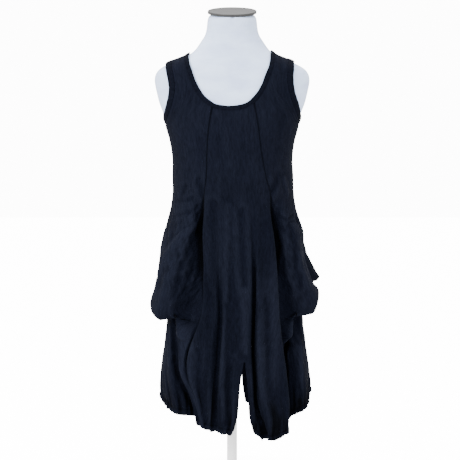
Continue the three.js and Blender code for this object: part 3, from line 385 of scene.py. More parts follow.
# %% [markdown]
# ## From a faceted wall to a smooth sheet
#
# In the CAD model each panel is a wall on a grid of points. The outer side is peeled off, and
# each of its points is given its row and column again. Two neighbouring triangles of a grid
# always make a parallelogram of places, which gives the fourth corner from the other three.

# %% Small sums


def ease(low, high, values):
    """0 below low, 1 above high, and a smooth change between."""
    t = np.clip((values - low) / (high - low), 0, 1)
    return t * t * (3 - 2 * t)


def bell(values):
    """1 at 0, and smoothly less on both sides: under 0.02 beyond 2."""
    return np.exp(-(values**2))


def lengths(vectors):
    """The length of each vector."""
    return np.linalg.norm(vectors, axis=-1)


def unit(vectors, least=0):
    """The vectors made 1 long. A least length keeps a vector of nothing from dividing by 0."""
    return vectors / (np.linalg.norm(vectors, axis=-1, keepdims=True) + least)


def travelled(points, axis=0):
    """How far along its row or column each point lies, from the first one."""
    steps = lengths(np.diff(points, axis=axis))
    return np.cumsum(np.insert(steps, 0, 0, axis=axis), axis=axis)


# %% Merge and walk
SAME_POINT = 0.02 * MM


def merged_copy(node):
    """Points and triangles of a CAD node, with doubles merged."""
    mesh = bmesh.new()
    mesh.from_mesh(nodes[node].data)
    bmesh.ops.remove_doubles(mesh, verts=mesh.verts, dist=SAME_POINT)
    mesh.verts.ensure_lookup_table()
    points = np.array([v.co for v in mesh.verts])
    triangles = [tuple(v.index for v in face.verts) for face in mesh.faces]
    mesh.free()
    return points, triangles


def walk(triangles):
    """Goes from triangle to triangle over their shared edges.

    It gives each new triangle's number, the edge crossed, and the corner left behind.
    """
    sharing = {}
    for index, corners in enumerate(triangles):
        for i in range(3):
            sharing.setdefault(frozenset((corners[i - 1], corners[i])), []).append(index)
    seen, waiting = {0}, [0]
    while waiting:
        corners = triangles[waiting.pop(0)]
        for i in range(3):
            p, q, opposite = corners[i - 1], corners[i], corners[i - 2]
            for other in sharing[frozenset((p, q))]:
                if other not in seen:
                    seen.add(other)
                    waiting.append(other)
                    yield other, p, q, opposite


# %% The two sides of a wall
RIM_EDGE = 1.88 * MM  # a wall's thickness is less, and every side of a facet more


def sides_of_wall(points, triangles):
    """The two sides of a wall, without the rim between them."""

    def is_rim(corners):
        sides = [np.linalg.norm(points[corners[i]] - points[corners[i - 1]]) for i in range(3)]
        return min(sides) < RIM_EDGE

    left = [corners for corners in triangles if not is_rim(corners)]
    found = []
    while left:
        seen = {0, *(other for other, *_ in walk(left))}
        found.append([left[i] for i in sorted(seen)])
        left = [corners for i, corners in enumerate(left) if i not in seen]
    return found


# %% Places on a grid


def lattice_places(triangles):
    """The points of a grid's triangles, with their rows and columns up to a turn of the grid."""
    a, b, c = triangles[0]
    place = {a: np.array((0, 0)), b: np.array((1, 0)), c: np.array((1, 1))}
    for other, p, q, opposite in walk(triangles):
        (far,) = set(triangles[other]) - {p, q}
        place.setdefault(far, place[p] + place[q] - place[opposite])
    return np.array(list(place)), np.array(list(place.values()))


# %% Rows and columns of a panel's outer side
# A grid of triangles has lines in three directions. This turns places to the next of them.
GRID_TURN = np.array(((1, -1), (1, 0)))
CHEST_ROW = 12


def outer_grid(node):
    """The outer side of a panel's wall: points by row and column, and which cells it has.

    Rows run down. Columns run from the princess seam, or on a centre panel from the wearer's
    right to left.
    """
    points, triangles = merged_copy(node)
    sides = sides_of_wall(points, triangles)[:2]
    side = max(sides, key=lambda side: lengths(points[np.unique(side), :2]).mean())
    index, at = lattice_places(side)
    while np.prod(np.ptp(at, axis=0) + 1) != len(index):
        at = at @ GRID_TURN.T
    at -= at.min(axis=0)
    if at[:, 0].max() < at[:, 1].max():
        at = at[:, ::-1]
    order = np.empty(at.max(axis=0) + 1, int)
    order[at[:, 0], at[:, 1]] = index
    if points[order[0], 2].mean() < points[order[-1], 2].mean():
        order = order[::-1]
    first, last = points[order[CHEST_ROW, (0, -1)], 0]
    if (abs(first) > abs(last)) if "side" in node else (first > last):
        order = order[:, ::-1]
    where = {vertex: np.array(spot) for spot, vertex in np.ndenumerate(order)}
    cells = np.full(np.array(order.shape) - 1, "side" in node)
    for corners in side:
        cells[tuple(np.min([where[vertex] for vertex in corners], axis=0))] = True
    return points[order], cells


PANELS = sorted(name for name in nodes if "centre" in name or "side" in name)
grids = {name: outer_grid(name) for name in PANELS}
for name, (grid, cells) in grids.items():
    print(name, "rows and columns:", grid.shape[:2], "open cells:", int((~cells).sum()))

# %% [markdown]
# ## Smooth cloth between the grid's points
#
# A curve is drawn through every row and every column, and read every 2.5 mm. Where the hem is
# slit, the two sides are drawn apart, so that neither pulls on the other.

# %% Curves
CELL = 2.5 * MM


def cell_at(knots, places):
    """The cell between two knots that each place lies in."""
    return np.clip(np.searchsorted(knots, places, side="right") - 1, 0, len(knots) - 2)


def curve_through(values, knots, places):
    """A smooth curve through values at knots, along the first axis, read at places."""
    slopes = np.gradient(values, knots, axis=0, edge_order=1)
    i = cell_at(knots, places)
    step = (knots[i + 1] - knots[i])[:, None, None]
    t = (places - knots[i])[:, None, None] / step
    start, end = values[i], values[i + 1]
    return (
        start * (1 + 2 * t) * (1 - t) ** 2
        + end * t**2 * (3 - 2 * t)
        + step * (slopes[i] * t * (1 - t) ** 2 - slopes[i + 1] * t**2 * (1 - t))
    )


def knots_and_places(grid, share):
    """Knots along the first axis at a typical spacing, and places a cell apart."""
    steps = np.quantile(lengths(np.diff(grid, axis=0)), share, axis=1)
    knots = np.cumsum(np.insert(steps, 0, 0))
    places = [
        np.linspace(a, b, max(2, round((b - a) / CELL)), endpoint=False)
        for a, b in zip(knots, knots[1:])
    ]
    return knots, np.concatenate((*places, knots[-1:]))


def seam_curve(line, knots, places, corner):
    """The same places on a curve that follows from the seam's own points, for both its panels.

    Above the corner the line runs along an opening, and below it down a seam.
    """
    own = travelled(line)
    places, line = np.interp(places, knots, own), line[:, None]
    curve = np.empty((len(places), 1, 3))
    above = places <= own[corner]
    if corner:
        curve[above] = curve_through(line[: corner + 1], own[: corner + 1], places[above])
    else:
        curve[above] = line[0]
    curve[~above] = curve_through(line[corner:], own[corner:], places[~above])
    return curve[:, 0]


# %% A smooth, fine grid
# Steps along a grid differ from line to line. The typical one has this share of them below it.
DOWN_SHARE = 0.6
ACROSS_SHARE = 0.75
SLIT_EASE = 60 * MM  # above the slit, its two sides become one again
SEAM_EASE = 20 * MM  # how far from a seam the panel bends to meet it
SEAM_LAP = 0.4 * MM  # closes the CAD model's gap at a seam
FOLD_LAP = 2 * MM  # more of it where a seam turns sharply under a pouch
FOLD_LEVEL = 670 * MM
FOLD_REACH = 28 * MM


def fine_grid(grid, cells, corner):
    """The panel's points a cell apart, and which of the fine cells it has."""
    knots, places = knots_and_places(grid, DOWN_SHARE)
    rows = curve_through(grid, knots, places)
    seams = [seam_curve(grid[:, col], knots, places, corner) for col in (0, -1)]
    row_cell = cell_at(knots, places)[:-1]
    lines = rows.transpose(1, 0, 2)
    knots, places = knots_and_places(grid.transpose(1, 0, 2), ACROSS_SHARE)
    fine = curve_through(lines, knots, places)
    col_cell = cell_at(knots, places)[:-1]
    if not cells.all():
        slit = int(np.flatnonzero(~cells[-1])[0])
        top = rows[np.flatnonzero(~cells[row_cell, slit])[0], slit, 2]
        before, beyond = places <= knots[slit], places >= knots[slit + 1]
        apart = fine.copy()
        apart[before] = curve_through(lines[: slit + 1], knots[: slit + 1], places[before])
        apart[beyond] = curve_through(lines[slit + 1 :], knots[slit + 1 :], places[beyond])
        fine = apart + (fine - apart) * ease(0, SLIT_EASE, rows[:, slit, 2] - top)[None, :, None]
    for col, seam in zip((0, -1), seams):
        away = lengths(fine - fine[col]) / SEAM_EASE
        fine = fine + (seam - fine[col]) * bell(away)[..., None]
        outwards = fine[col] - fine[2 if col == 0 else -3]
        lap = SEAM_LAP + FOLD_LAP * bell((fine[col][:, 2:] - FOLD_LEVEL) / FOLD_REACH)
        fine[col] += lap * unit(outwards)
    return fine.transpose(1, 0, 2), cells[np.ix_(row_cell, col_cell)]


# %% Cloth
STRAP_ROWS = 9  # rows of a side panel beside its armhole
WAIST_LEVEL = 1050 * MM
HANGING = 950 * MM  # below it the cloth leaves the form
POUCH_LEVEL = 760 * MM  # below it the side panels turn up inside


class Cloth:
    """A panel's fine grid: its points, their places on the flat cloth in metres, and relief.

    A side panel runs down to its fold row, up inside the pouch to its tuck row, and down again.
    """

    def __init__(self, name):
        self.name = name
        self.points, self.cells = fine_grid(*grids[name], STRAP_ROWS if "side" in name else 0)
        u = travelled(self.points, 1)
        self.from_seams = (u, u[:, -1:] - u)
        self.edge = np.minimum(*self.from_seams)
        self.u = u - u[:, u.shape[1] // 2, None]
        self.v = travelled(self.points)
        self.relief, self.troughs, self.ridges = np.zeros((3, *u.shape))
        self.normals = self.facing(self.points)
        line = self.points[:, -2, 2]
        self.fold = self.tuck = len(line)
        if "side" in name:
            half = int(np.argmax(line < POUCH_LEVEL))
            self.fold = half + int(np.argmax(np.diff(line[half:]) > 0))
            self.tuck = self.fold + int(np.argmax(np.diff(line[self.fold :]) < 0))

    def facing(self, points):
        """Unit normals, pointing away from the middle of the dress at the waist."""
        normals = unit(np.cross(*np.gradient(points, axis=(0, 1))), least=1e-12)
        waist = int(np.argmax(points[:, 0, 2] < WAIST_LEVEL))
        outwards = (normals[waist, :, :2] * points[waist, :, :2]).sum()
        return normals if outwards > 0 else -normals

    def layer(self, name, lap=0):
        """The rows of one layer of a panel, with as many of the next one as the lap says."""
        ends = {
            "upper": (0, self.fold + lap),
            "inner": (self.fold, self.tuck),
            "lower": (self.tuck - lap, None),
            "all": (0, None),
        }
        return slice(*ends[name])

    def pushes(self):
        """The way that relief pushes each point: at a seam, the same for both its panels."""
        shared = bell(2 * self.edge / SEAM_EASE) * (self.points[..., 2] < HANGING)
        shared = shared[..., None]
        return unit(self.normals * (1 - shared) + unit(self.points * (1, 1, 0)) * shared)


cloths = {name: Cloth(name) for name in PANELS}
for name, cloth in cloths.items():
    print(name, "fine points:", cloth.u.shape, "fold and tuck rows:", cloth.fold, cloth.tuck)
    print("  widest", round(np.ptp(cloth.u, axis=1).max(), 3), "longest", round(cloth.v.max(), 3))

# %% [markdown]
# ## Folds
#
# Hanging cloth buckles into soft troughs and ridges that start where it is held, at a seam or
# a fold, and fade as it falls free. Each is placed with a row of a table: where it starts and
# ends as seen from the front (or through the dress from the front, for the back), how deep it
# is at each end, and how wide. A negative depth is a ridge.

# %% A crease
LAYER_LAP = 4  # rows of the next layer that a crease may run on to
BROW_HEIGHT = 0.32
BROW_PLACE = 2.1
CREASE_SEAM_EASE = 6  # a crease fades within so many mm of a seam


def foot(cloth, layer, x, z):
    """Where a point seen from the front lies on the flat cloth."""
    rows = cloth.layer(layer)
    apart = np.hypot(cloth.points[rows, :, 0] - x, cloth.points[rows, :, 2] - z)
    row, col = np.unravel_index(np.argmin(apart), apart.shape)
    return cloth.u[rows][row, col], cloth.v[rows][row, col]


def crease(cloth, layer, x0, z0, x1, z1, deep0, deep1, width):
    """Sinks a trough along a straight line on the cloth, with a low brow on each side."""
    (u0, v0), (u1, v1) = foot(cloth, layer, x0, z0), foot(cloth, layer, x1, z1)
    du, dv = u1 - u0, v1 - v0
    length = math.hypot(du, dv)
    t = np.clip(((cloth.u - u0) * du + (cloth.v - v0) * dv) / length**2, 0, 1)
    apart = np.hypot(cloth.u - u0 - t * du, cloth.v - v0 - t * dv) / width
    depth = deep0 + (deep1 - deep0) * t
    profile = bell(apart) - BROW_HEIGHT * bell(apart - BROW_PLACE)
    push = -depth * profile * ease(0, CREASE_SEAM_EASE, cloth.edge / MM)
    rows = cloth.layer(layer, LAYER_LAP)
    cloth.troughs[rows] = np.minimum(cloth.troughs[rows], push[rows])
    cloth.ridges[rows] = np.maximum(cloth.ridges[rows], push[rows])


def unevenness(u, v, seed):
    """Smooth noise from -1 to 1, whose bumps are about one unit across."""
    heights = np.random.default_rng(seed).uniform(-1, 1, (101, 101))
    i, j = np.floor(u).astype(int), np.floor(v).astype(int)
    s, t = ease(0, 1, u - i), ease(0, 1, v - j)
    near = heights[i % 101, j % 101] * (1 - s) + heights[(i + 1) % 101, j % 101] * s
    far = heights[i % 101, (j + 1) % 101] * (1 - s) + heights[(i + 1) % 101, (j + 1) % 101] * s
    return near * (1 - t) + far * t


# %% Creases, listed one by one
# For each panel and layer: start x and z, end x and z, depths at the start and the end, and
# width, all in mm. Where two creases meet or cross, the deeper one shows.
CREASES = {
    ("front_side_right", "upper"): [
        (-78, 1003, -60, 964, 1.5, 4, 6), (-106, 985, -122, 948, 1.5, 0.5, 5),
        (-92, 960, -138, 943, 1.8, 0.6, 4), (-81, 941, -134, 911, 2.6, 0.6, 4.5),
        (-90, 927, -120, 893, -2.2, -0.8, 3.5), (-81, 920, -143, 851, 2.8, 0.7, 5),
        (-85, 906, -165, 780, -3.5, -5, 11), (-165, 780, -186, 724, -5, -2, 11),
        (-81, 883, -118, 799, 3, 3, 8), (-118, 799, -137, 724, 3, 1.5, 8),
        (-159, 869, -178, 813, 1.6, 0.5, 5), (-83, 841, -98, 747, -2, -2.5, 7),
        (-96, 786, -112, 764, 2.4, 0.6, 3.2), (-84, 770, -104, 748, 2.6, 0.8, 3.4),
        (-92, 752, -116, 738, 2.6, 0.6, 3.2), (-82, 738, -100, 718, 2.4, 1, 3.2),
        (-108, 742, -128, 716, 2.2, 0.6, 3.6), (-118, 770, -132, 744, 2, 0.6, 3.6),
        (-90, 722, -108, 700, 2.4, 0.8, 3.2), (-100, 800, -110, 784, -1.6, -0.5, 3),
    ],
    ("front_side_left", "upper"): [
        (107, 1015, 84, 971, 1.5, 4.2, 6), (121, 1001, 132, 966, -2.2, -1, 6),
        (91, 950, 114, 930, 2, 0.6, 4.5), (126, 906, 103, 925, 2.2, 0.6, 3.6),
        (131, 909, 158, 925, 2.4, 0.6, 3.6), (133, 902, 163, 890, 2.2, 0.8, 3.6),
        (128, 897, 112, 869, 2, 0.6, 4), (149, 906, 173, 837, 5, 3, 6),
        (131, 895, 147, 813, 2.5, 2.5, 7), (147, 813, 160, 743, 2.5, 1, 7),
        (112, 874, 129, 780, -2.5, -3, 8), (129, 780, 148, 724, -3, -1, 8),
        (170, 827, 192, 743, 2.5, 0.8, 7),
    ],
    ("front_centre", "all"): [
        (-44, 947, -44, 760, 2.2, 2.4, 8), (-12, 943, -12, 723, -1.6, -1.8, 7),
        (20, 929, 28, 760, 2, 2.6, 8), (49, 815, 50, 678, 2, 5, 4.2),
        (50, 678, 50, 573, 5, 6.5, 4.2), (50, 573, 54, 496, 6.5, 6.5, 4.2),
        (54, 496, 65, 443, 6.5, 5, 4.2), (65, 443, 77, 409, 5, 3, 4.2),
        (-28, 814, -28, 710, 0.5, 2, 6), (-28, 710, -35, 553, 2, 3, 6),
        (-35, 553, -45, 427, 3, 2.5, 6), (-56, 682, -61, 548, 1, 3, 6),
        (-61, 548, -68, 456, 3, 2, 6), (-5, 568, -10, 428, 2, 3.2, 5.5), (9, 725, 4, 606, 1, 2, 6),
        (78, 725, 84, 601, 1, 2.5, 8), (84, 601, 98, 456, 2.5, 1.5, 8),
        (-80, 605, -75, 490, 1, 2.4, 5), (-75, 490, -66, 426, 2.4, 1.5, 5),
        (27, 725, 32, 602, -1, -2, 6),
    ],
    ("front_side_left", "lower"): [
        (152, 679, 114, 645, -3.2, -1, 5), (147, 667, 126, 593, 6, 5, 6),
        (126, 593, 132, 505, 5, 2, 6), (153, 656, 185, 525, 2.6, 2.8, 6),
        (185, 525, 195, 476, 2.8, 1.5, 6), (170, 663, 214, 556, 2, 1.4, 6),
        (160, 594, 161, 477, -2.2, -2, 7), (191, 639, 234, 565, 1.6, 1.2, 6),
        (143, 655, 129, 600, 12, 10, 8),
    ],
    ("front_side_right", "lower"): [
        (-129, 660, -120, 579, -1.5, -2, 4), (-120, 579, -99, 506, -2, -2, 4),
        (-99, 506, -69, 438, -2, -1, 4), (-141, 639, -135, 571, 3, 4, 6),
        (-135, 571, -114, 503, 4, 4, 6), (-114, 503, -95, 459, 4, 2, 6),
        (-171, 651, -177, 578, 2.2, 1.6, 6), (-156, 644, -152, 556, -2, -1.6, 5),
        (-196, 646, -214, 592, 1.8, 1.2, 6),
    ],
    ("front_side_right", "inner"): [
        (-115, 720, -103, 682, 2.4, 1.5, 4), (-132, 714, -127, 676, 2, 1.5, 4),
        (-98, 721, -82, 687, 2, 1.2, 4),
    ],
    ("front_side_left", "inner"): [
        (135, 720, 140, 687, 2, 1.5, 4), (159, 718, 169, 684, 2, 1.2, 4),
    ],
    ("back_side_left", "upper"): [
        (96, 1008, 78, 968, 1.4, 3.8, 6), (92, 936, 140, 912, 2.4, 0.6, 5),
        (95, 915, 150, 858, 2.6, 0.8, 5), (100, 900, 172, 784, -3, -4.5, 11),
        (172, 784, 190, 730, -4.5, -2, 11), (92, 872, 120, 790, 3, 2.5, 8),
        (165, 860, 182, 806, 1.8, 0.5, 6),
    ],
    ("back_side_right", "upper"): [
        (-100, 1002, -82, 962, 1.6, 4, 6), (-118, 990, -130, 952, 1.5, 0.5, 5),
        (-94, 930, -132, 902, 2.4, 0.7, 4.5), (-90, 905, -140, 842, 2.8, 0.6, 5.5),
        (-100, 890, -150, 770, -3, -4, 10), (-86, 860, -106, 780, 2.6, 3, 8),
        (-150, 845, -168, 790, 2.4, 1, 6),
    ],
    ("back_centre", "all"): [
        (-52, 930, -56, 760, 2, 2.6, 8), (-20, 940, -24, 740, -1.5, -1.8, 8),
        (12, 925, 10, 770, 2.2, 2, 8), (44, 935, 50, 745, 1.8, 2.4, 7),
        (-60, 700, -66, 560, 2, 4.5, 5), (-66, 560, -78, 430, 4.5, 3, 5),
        (-30, 640, -34, 480, 1.5, 3, 6), (40, 690, 46, 540, 2, 4, 5.5),
        (46, 540, 56, 420, 4, 2.5, 5.5), (70, 620, 78, 460, 1.6, 3, 6),
        (8, 720, 6, 600, 1, 2.4, 7),
    ],
    ("back_side_left", "lower"): [
        (140, 650, 130, 560, 4, 4.5, 6), (130, 560, 134, 480, 4.5, 2, 6),
        (162, 655, 180, 540, 2.4, 2, 6), (186, 650, 206, 580, 1.8, 1.2, 6),
    ],
    ("back_side_right", "lower"): [
        (-134, 648, -128, 560, 3.5, 4.5, 6), (-128, 560, -110, 480, 4.5, 2, 6),
        (-158, 650, -166, 560, 2.4, 1.6, 6), (-184, 648, -198, 590, 1.8, 1, 6),
    ],
    ("back_side_left", "inner"): [
        (130, 722, 138, 690, 2, 1.4, 4),
    ],
    ("back_side_right", "inner"): [
        (-128, 724, -120, 690, 2, 1.4, 4),
    ],
}

for (name, layer), rows in CREASES.items():
    for row in rows:
        crease(cloths[name], layer, *(number * MM for number in row))
for cloth in cloths.values():
    cloth.relief += cloth.troughs + cloth.ridges
print("creases:", sum(len(rows) for rows in CREASES.values()))

# %% [markdown]
# ## Crinkle, seams and the gathered hem
#
# The washed knit crinkles all over in small upright folds, more where it hangs free. At a seam
# the edges turn in. The hem is a casing with elastic in it: the casing swells between its
# stitching and its edge, and short uneven gathers run up from it.

# %% Where a seam lies flat, and where it has a cleft


def from_front_seam(cloth):
    """How far across the cloth each point is from the seam with a centre panel, in mm."""
    if "side" not in cloth.name:
        return cloth.edge / MM
    seam_first = abs(cloth.points[0, 0, 0]) < abs(cloth.points[0, -1, 0])
    return cloth.from_seams[0 if seam_first else 1] / MM


def flattened(cloth):
    """Where the skirt's right front seam lies flat, because no fold starts at it: 0 to 1."""
    if cloth.name not in ("front_centre", "front_side_right"):
        return 0
    z = cloth.points[..., 2] / MM
    near_right = cloth.points[..., 0] < 0
    below_pouch = ease(660, 610, z) * ease(370, 420, z)
    return near_right * below_pouch * ease(60, 35, from_front_seam(cloth))


def cleft(cloth):
    """The narrow cleft beside a front seam, out of which the hip's folds fall: 0 to 1."""
    if cloth.name not in ("front_side_left", "front_side_right"):
        return 0
    z = cloth.points[..., 2] / MM
    rows = np.arange(len(cloth.u))[:, None] < cloth.fold
    wide = 3 + 12 * ease(968, 860, z) * ease(700, 800, z)
    ends = ease(975, 955, z) * ease(690, 730, z)
    return rows * ends * np.exp(-((from_front_seam(cloth) / wide) ** 4))


# %% Crinkle
# Height in mm of each size of crinkle, its breadth across and down in mm, and its seed.
FINE_CRINKLE = (0.35, 5, 34, 100)
MIDDLE_CRINKLE = (0.5, 13, 70, 200)
BROAD_CRINKLE = (1, 30, 150, 300)
HELD_SHARE = 0.25  # of the broad crinkle where the form holds the cloth
FREE_SHARE = 1.5  # more of it where the cloth hangs free
HIP_WRINKLE = 1.3
HIP_SEED = 500


def crinkle_of(cloth, number):
    """The knit's small upright folds, and over the hips its slanting ones, in mm."""
    u, v, z = cloth.u / MM, cloth.v / MM, cloth.points[..., 2] / MM

    def bumps(height, across, down, seed):
        return height * unevenness(u / across + 40, v / down, seed + number)

    broad = HELD_SHARE + FREE_SHARE * ease(990, 880, z)
    crinkle = bumps(*FINE_CRINKLE) + bumps(*MIDDLE_CRINKLE) + broad * bumps(*BROAD_CRINKLE)
    if "side" in cloth.name:
        slanted = unevenness((u + v / 2) / 11 + 60, (v - u / 2) / 38 + 20, HIP_SEED + number)
        hip = bell((z - 830) / 110) * (np.arange(len(u))[:, None] < cloth.fold)
        crinkle = crinkle + HIP_WRINKLE * hip * (1 - 2.4 * np.abs(slanted))
    return crinkle * ease(0, 14, cloth.edge / MM) * ease(0, 12, v)


# %% Seams and clefts
SEAM_TURN = 1.1
SEAM_FILL = 4
CLEFT_DEPTH = 5


def seams_of(cloth):
    """What the seams do to the cloth beside them, in mm."""
    edge, z = cloth.edge / MM, cloth.points[..., 2] / MM
    flat = flattened(cloth)
    fill = bell(edge / 12)
    if "side" in cloth.name:
        fill += 0.9 * edge / 8 * np.exp(1 - edge / 8) * ease(500, 560, z)
    relief = SEAM_FILL * fill * flat - SEAM_TURN * bell(edge / 2.2) * (1 - flat)
    return relief - CLEFT_DEPTH * cleft(cloth) * ease(0, 5, edge)


# %% Hem
HEM_CASING = 13
HEM_SEED = 400
CASING_SWELL = 1.6
STITCH_DEPTH = 1.5
STITCH_PLACE = 1.08


def hem_of(cloth, number):
    """Short uneven gathers, each leaning its own way, and the swell of the casing, in mm."""
    u, up, edge = cloth.u / MM, (cloth.v[-1] - cloth.v) / MM, cloth.edge / MM
    chance = np.random.default_rng(HEM_SEED + number)
    relief = np.zeros(u.shape)
    across = u.min()
    while across < u[-1].max():
        across += chance.uniform(3, 8.5)
        reach, width = chance.uniform(16, 90), chance.uniform(1.9, 4)
        deep, lean = chance.uniform(2.2, 6.4), chance.uniform(-0.12, 0.12)
        line = bell((u - across - lean * up) / (width * (1 + up / 70)))
        relief -= deep * line * bell(up / reach) * ease(0, 8, edge)
    casing = up / HEM_CASING
    relief += CASING_SWELL * np.where(casing < 1, np.sin(np.pi * np.clip(casing, 0, 1)), 0)
    return relief - STITCH_DEPTH * bell((casing - STITCH_PLACE) * HEM_CASING / 1.8)


# %% All relief together
RESTING = 980 * MM  # above it the cloth rests on the form
RESTING_DEPTH = 1.9 * MM  # and can sink no further than this

for number, (name, cloth) in enumerate(cloths.items()):
    relief = crinkle_of(cloth, number) + seams_of(cloth) + hem_of(cloth, number)
    cloth.relief += MM * relief
    resting = cloth.points[..., 2] > RESTING
    cloth.relief[resting] = np.maximum(cloth.relief[resting], -RESTING_DEPTH)
    deepest, highest = cloth.relief.min() / MM, cloth.relief.max() / MM
    print(name, "relief from", round(deepest, 1), "to", round(highest, 1), "mm")

# %% [markdown]
# ## Whole folds moved
#
# The relief pushes each point in or out. A few folds also hang a little lower, higher or further
# out than the CAD model's facets say, so the cloth round them is moved as a whole.

# %% Folds pushed and moved
# Middle x and z, reach sideways and up, and how far it moves sideways and up: all in mm.
NUDGES = [
    (162, 868, 45, 36, 8, 0),
    (202, 696, 27, 32, 0, 27),
    (-168, 840, 45, 62, -11, 0),
    (-74, 800, 30, 95, 10, 0),
    (-160, 448, 34, 46, 5, -8),
    (-70, 422, 40, 40, 0, -5),
    (85, 392, 42, 60, 0, -9),
    (130, 384, 14, 18, 0, 7),
]

shaped = {
    name: cloth.points + cloth.pushes() * cloth.relief[..., None]
    for name, cloth in cloths.items()
}
for x, z, reach_x, reach_z, move_x, move_z in NUDGES:
    for points in shaped.values():
        aside, up = (points[..., 0] / MM - x) / reach_x, (points[..., 2] / MM - z) / reach_z
        points += MM * bell(np.hypot(aside, up))[..., None] * np.array((move_x, 0, move_z))
print("folds moved:", len(NUDGES))

# %% [markdown]
# ## How hidden each point is
#
# Deep in a fold a knit looks nearly black, because little light gets in and less gets out. From
# every fourth row of points a fan of lines goes out from the cloth, and the share of them that
# meet other cloth close by says how hidden the point is.

# %% How hidden each point is
ROW_STRIDE = 4
LOOKS = 26
LOOK_REACH = 140 * MM
LOOK_START = 1.2 * MM
ASIDE = (0.1, 0.2, 1)  # a direction that no part of the cloth faces squarely


def grid_faces(shape, cells, flip=False):
    """The squares of a grid's cells, as numbers of its points."""
    numbers = np.arange(shape[0] * shape[1]).reshape(shape)
    corners = (numbers[:-1, :-1], numbers[1:, :-1], numbers[1:, 1:], numbers[:-1, 1:])
    quads = np.stack(corners, axis=2)[cells]
    return quads[:, ::-1] if flip else quads


def whole_dress():
    """All panels as one search tree, to look through."""
    corners, faces, count = [], [], 0
    for name, points in shaped.items():
        corners += points.reshape(-1, 3).tolist()
        faces += (grid_faces(points.shape[:2], cloths[name].cells) + count).tolist()
        count += points.shape[0] * points.shape[1]
    return BVHTree.FromPolygons(corners, faces)


def hiddenness(tree, points, normals):
    """How much of the outlook from each point other cloth shuts off, from 0 to 1."""
    i = np.arange(LOOKS) + 0.5
    radius, turn = np.sqrt(i / LOOKS), i * math.pi * (3 - math.sqrt(5))
    up = np.sqrt(1 - radius**2)
    looks = np.stack((radius * np.cos(turn), radius * np.sin(turn), up), axis=1)
    points, facing = points[::ROW_STRIDE], normals[::ROW_STRIDE]
    across = unit(np.cross(facing, ASIDE))
    frames = np.stack((across, np.cross(facing, across), facing), axis=2)
    rays = np.einsum("lk,rckj->rclj", looks, frames)
    starts = (points + LOOK_START * facing).reshape(-1, 3).tolist()
    found = [
        sum(tree.ray_cast(start, ray, LOOK_REACH)[0] is not None for ray in fan)
        for start, fan in zip(starts, rays.reshape(-1, LOOKS, 3).tolist())
    ]
    shut = np.array(found).reshape(points.shape[:2]) / LOOKS
    rows = np.arange(len(normals)) / ROW_STRIDE
    low = np.minimum(rows.astype(int), len(shut) - 1)
    high = np.minimum(low + 1, len(shut) - 1)
    return shut[low] + (shut[high] - shut[low]) * (rows - low)[:, None]


tree = whole_dress()
hidden = {}
for name, points in shaped.items():
    hidden[name] = hiddenness(tree, points, cloths[name].facing(points))
    typical, most = float(np.median(hidden[name])), float(hidden[name].max())
    print(name, "hidden: typical", round(typical, 2), "most", round(most, 2))

# %% [markdown]
# ## Sewing it up
#
# Each panel becomes a mesh, and the Solidify modifier gives it the knit's thickness, inwards.
# Its UV map is the flat cloth, in metres.

# %% Making a piece


def carry(piece, name, values):
    """Gives each point of a piece a number that its material can read."""
    layer = piece.data.attributes.new(name, "FLOAT", "POINT")
    layer.data.foreach_set("value", values.astype(np.float32))


def mesh_piece(name, points, faces, uv, material):
    """A new piece of cloth from points, faces and a place on the flat cloth for each point."""
    mesh = bpy.data.meshes.new(name)
    mesh.from_pydata([tuple(p) for p in points], [], [tuple(f) for f in faces])
    layer = mesh.uv_layers.new(name="Cloth")
    corners = np.empty(len(mesh.loops), int)
    mesh.loops.foreach_get("vertex_index", corners)
    layer.data.foreach_set("uv", uv[corners].ravel())
    mesh.materials.append(material)
    mesh.shade_smooth()
    piece = linked(name, mesh)
    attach(piece, "root")
    return piece


def only(piece):
    """Selects one piece and makes it active."""
    bpy.ops.object.select_all(action="DESELECT")
    piece.select_set(True)
    bpy.context.view_layer.objects.active = piece


def thicken(piece, thickness):
    """Gives a sheet its thickness, inwards."""
    only(piece)
    wall = piece.modifiers.new("Thickness", "SOLIDIFY")
    wall.thickness = thickness
    wall.offset = -1
    bpy.ops.object.modifier_apply(modifier=wall.name)


# %% How much painted shade, and how much wear and painted highlight, each point gets
# Each pair is where something starts to count and where it counts in full: first for the share
# of the outlook that is shut off, and then for depth or height in mm.
# Painted shade: hidden places, troughs, seams and clefts are painted near black.
HIDDEN_DARK = (0.56, 0.92)
TROUGH_DARK = (1.8, 6.5)
# Wear and painted highlight: open, raised places are painted paler.
OPEN_WEAR_AND_HIGHLIGHT = (0.42, 0.08)
RIDGE_WEAR_AND_HIGHLIGHT = (-1.5, 2)
TROUGH_SHADE = 0.75
CLEFT_SHADE = 0.95
SEAM_SHADE = 0.6
SEAM_WIDTH = 1.6


def shade_wear_and_highlight(name, cloth):
    """The two numbers that the knit's material reads, from 0 to 1: painted shade, and wear with a
    painted highlight.
    """
    high = cloth.relief / MM
    seam = SEAM_SHADE * bell(cloth.edge / MM / SEAM_WIDTH) * (1 - 0.95 * flattened(cloth))
    trough, in_cleft = TROUGH_SHADE * ease(*TROUGH_DARK, -high), CLEFT_SHADE * cleft(cloth)
    # Painted shade: the darkest of the hidden places, the troughs, the seams and the clefts.
    shade = ease(*HIDDEN_DARK, hidden[name])
    for darker in (trough, seam, in_cleft):
        shade = np.maximum(shade, darker)
    # Wear and painted highlight: paler where the outlook is open and the cloth stands out.
    return shade, ease(*OPEN_WEAR_AND_HIGHLIGHT, hidden[name]) * ease(*RIDGE_WEAR_AND_HIGHLIGHT, high)


# %% Panels
KNIT_THICKNESS = 1.1 * MM

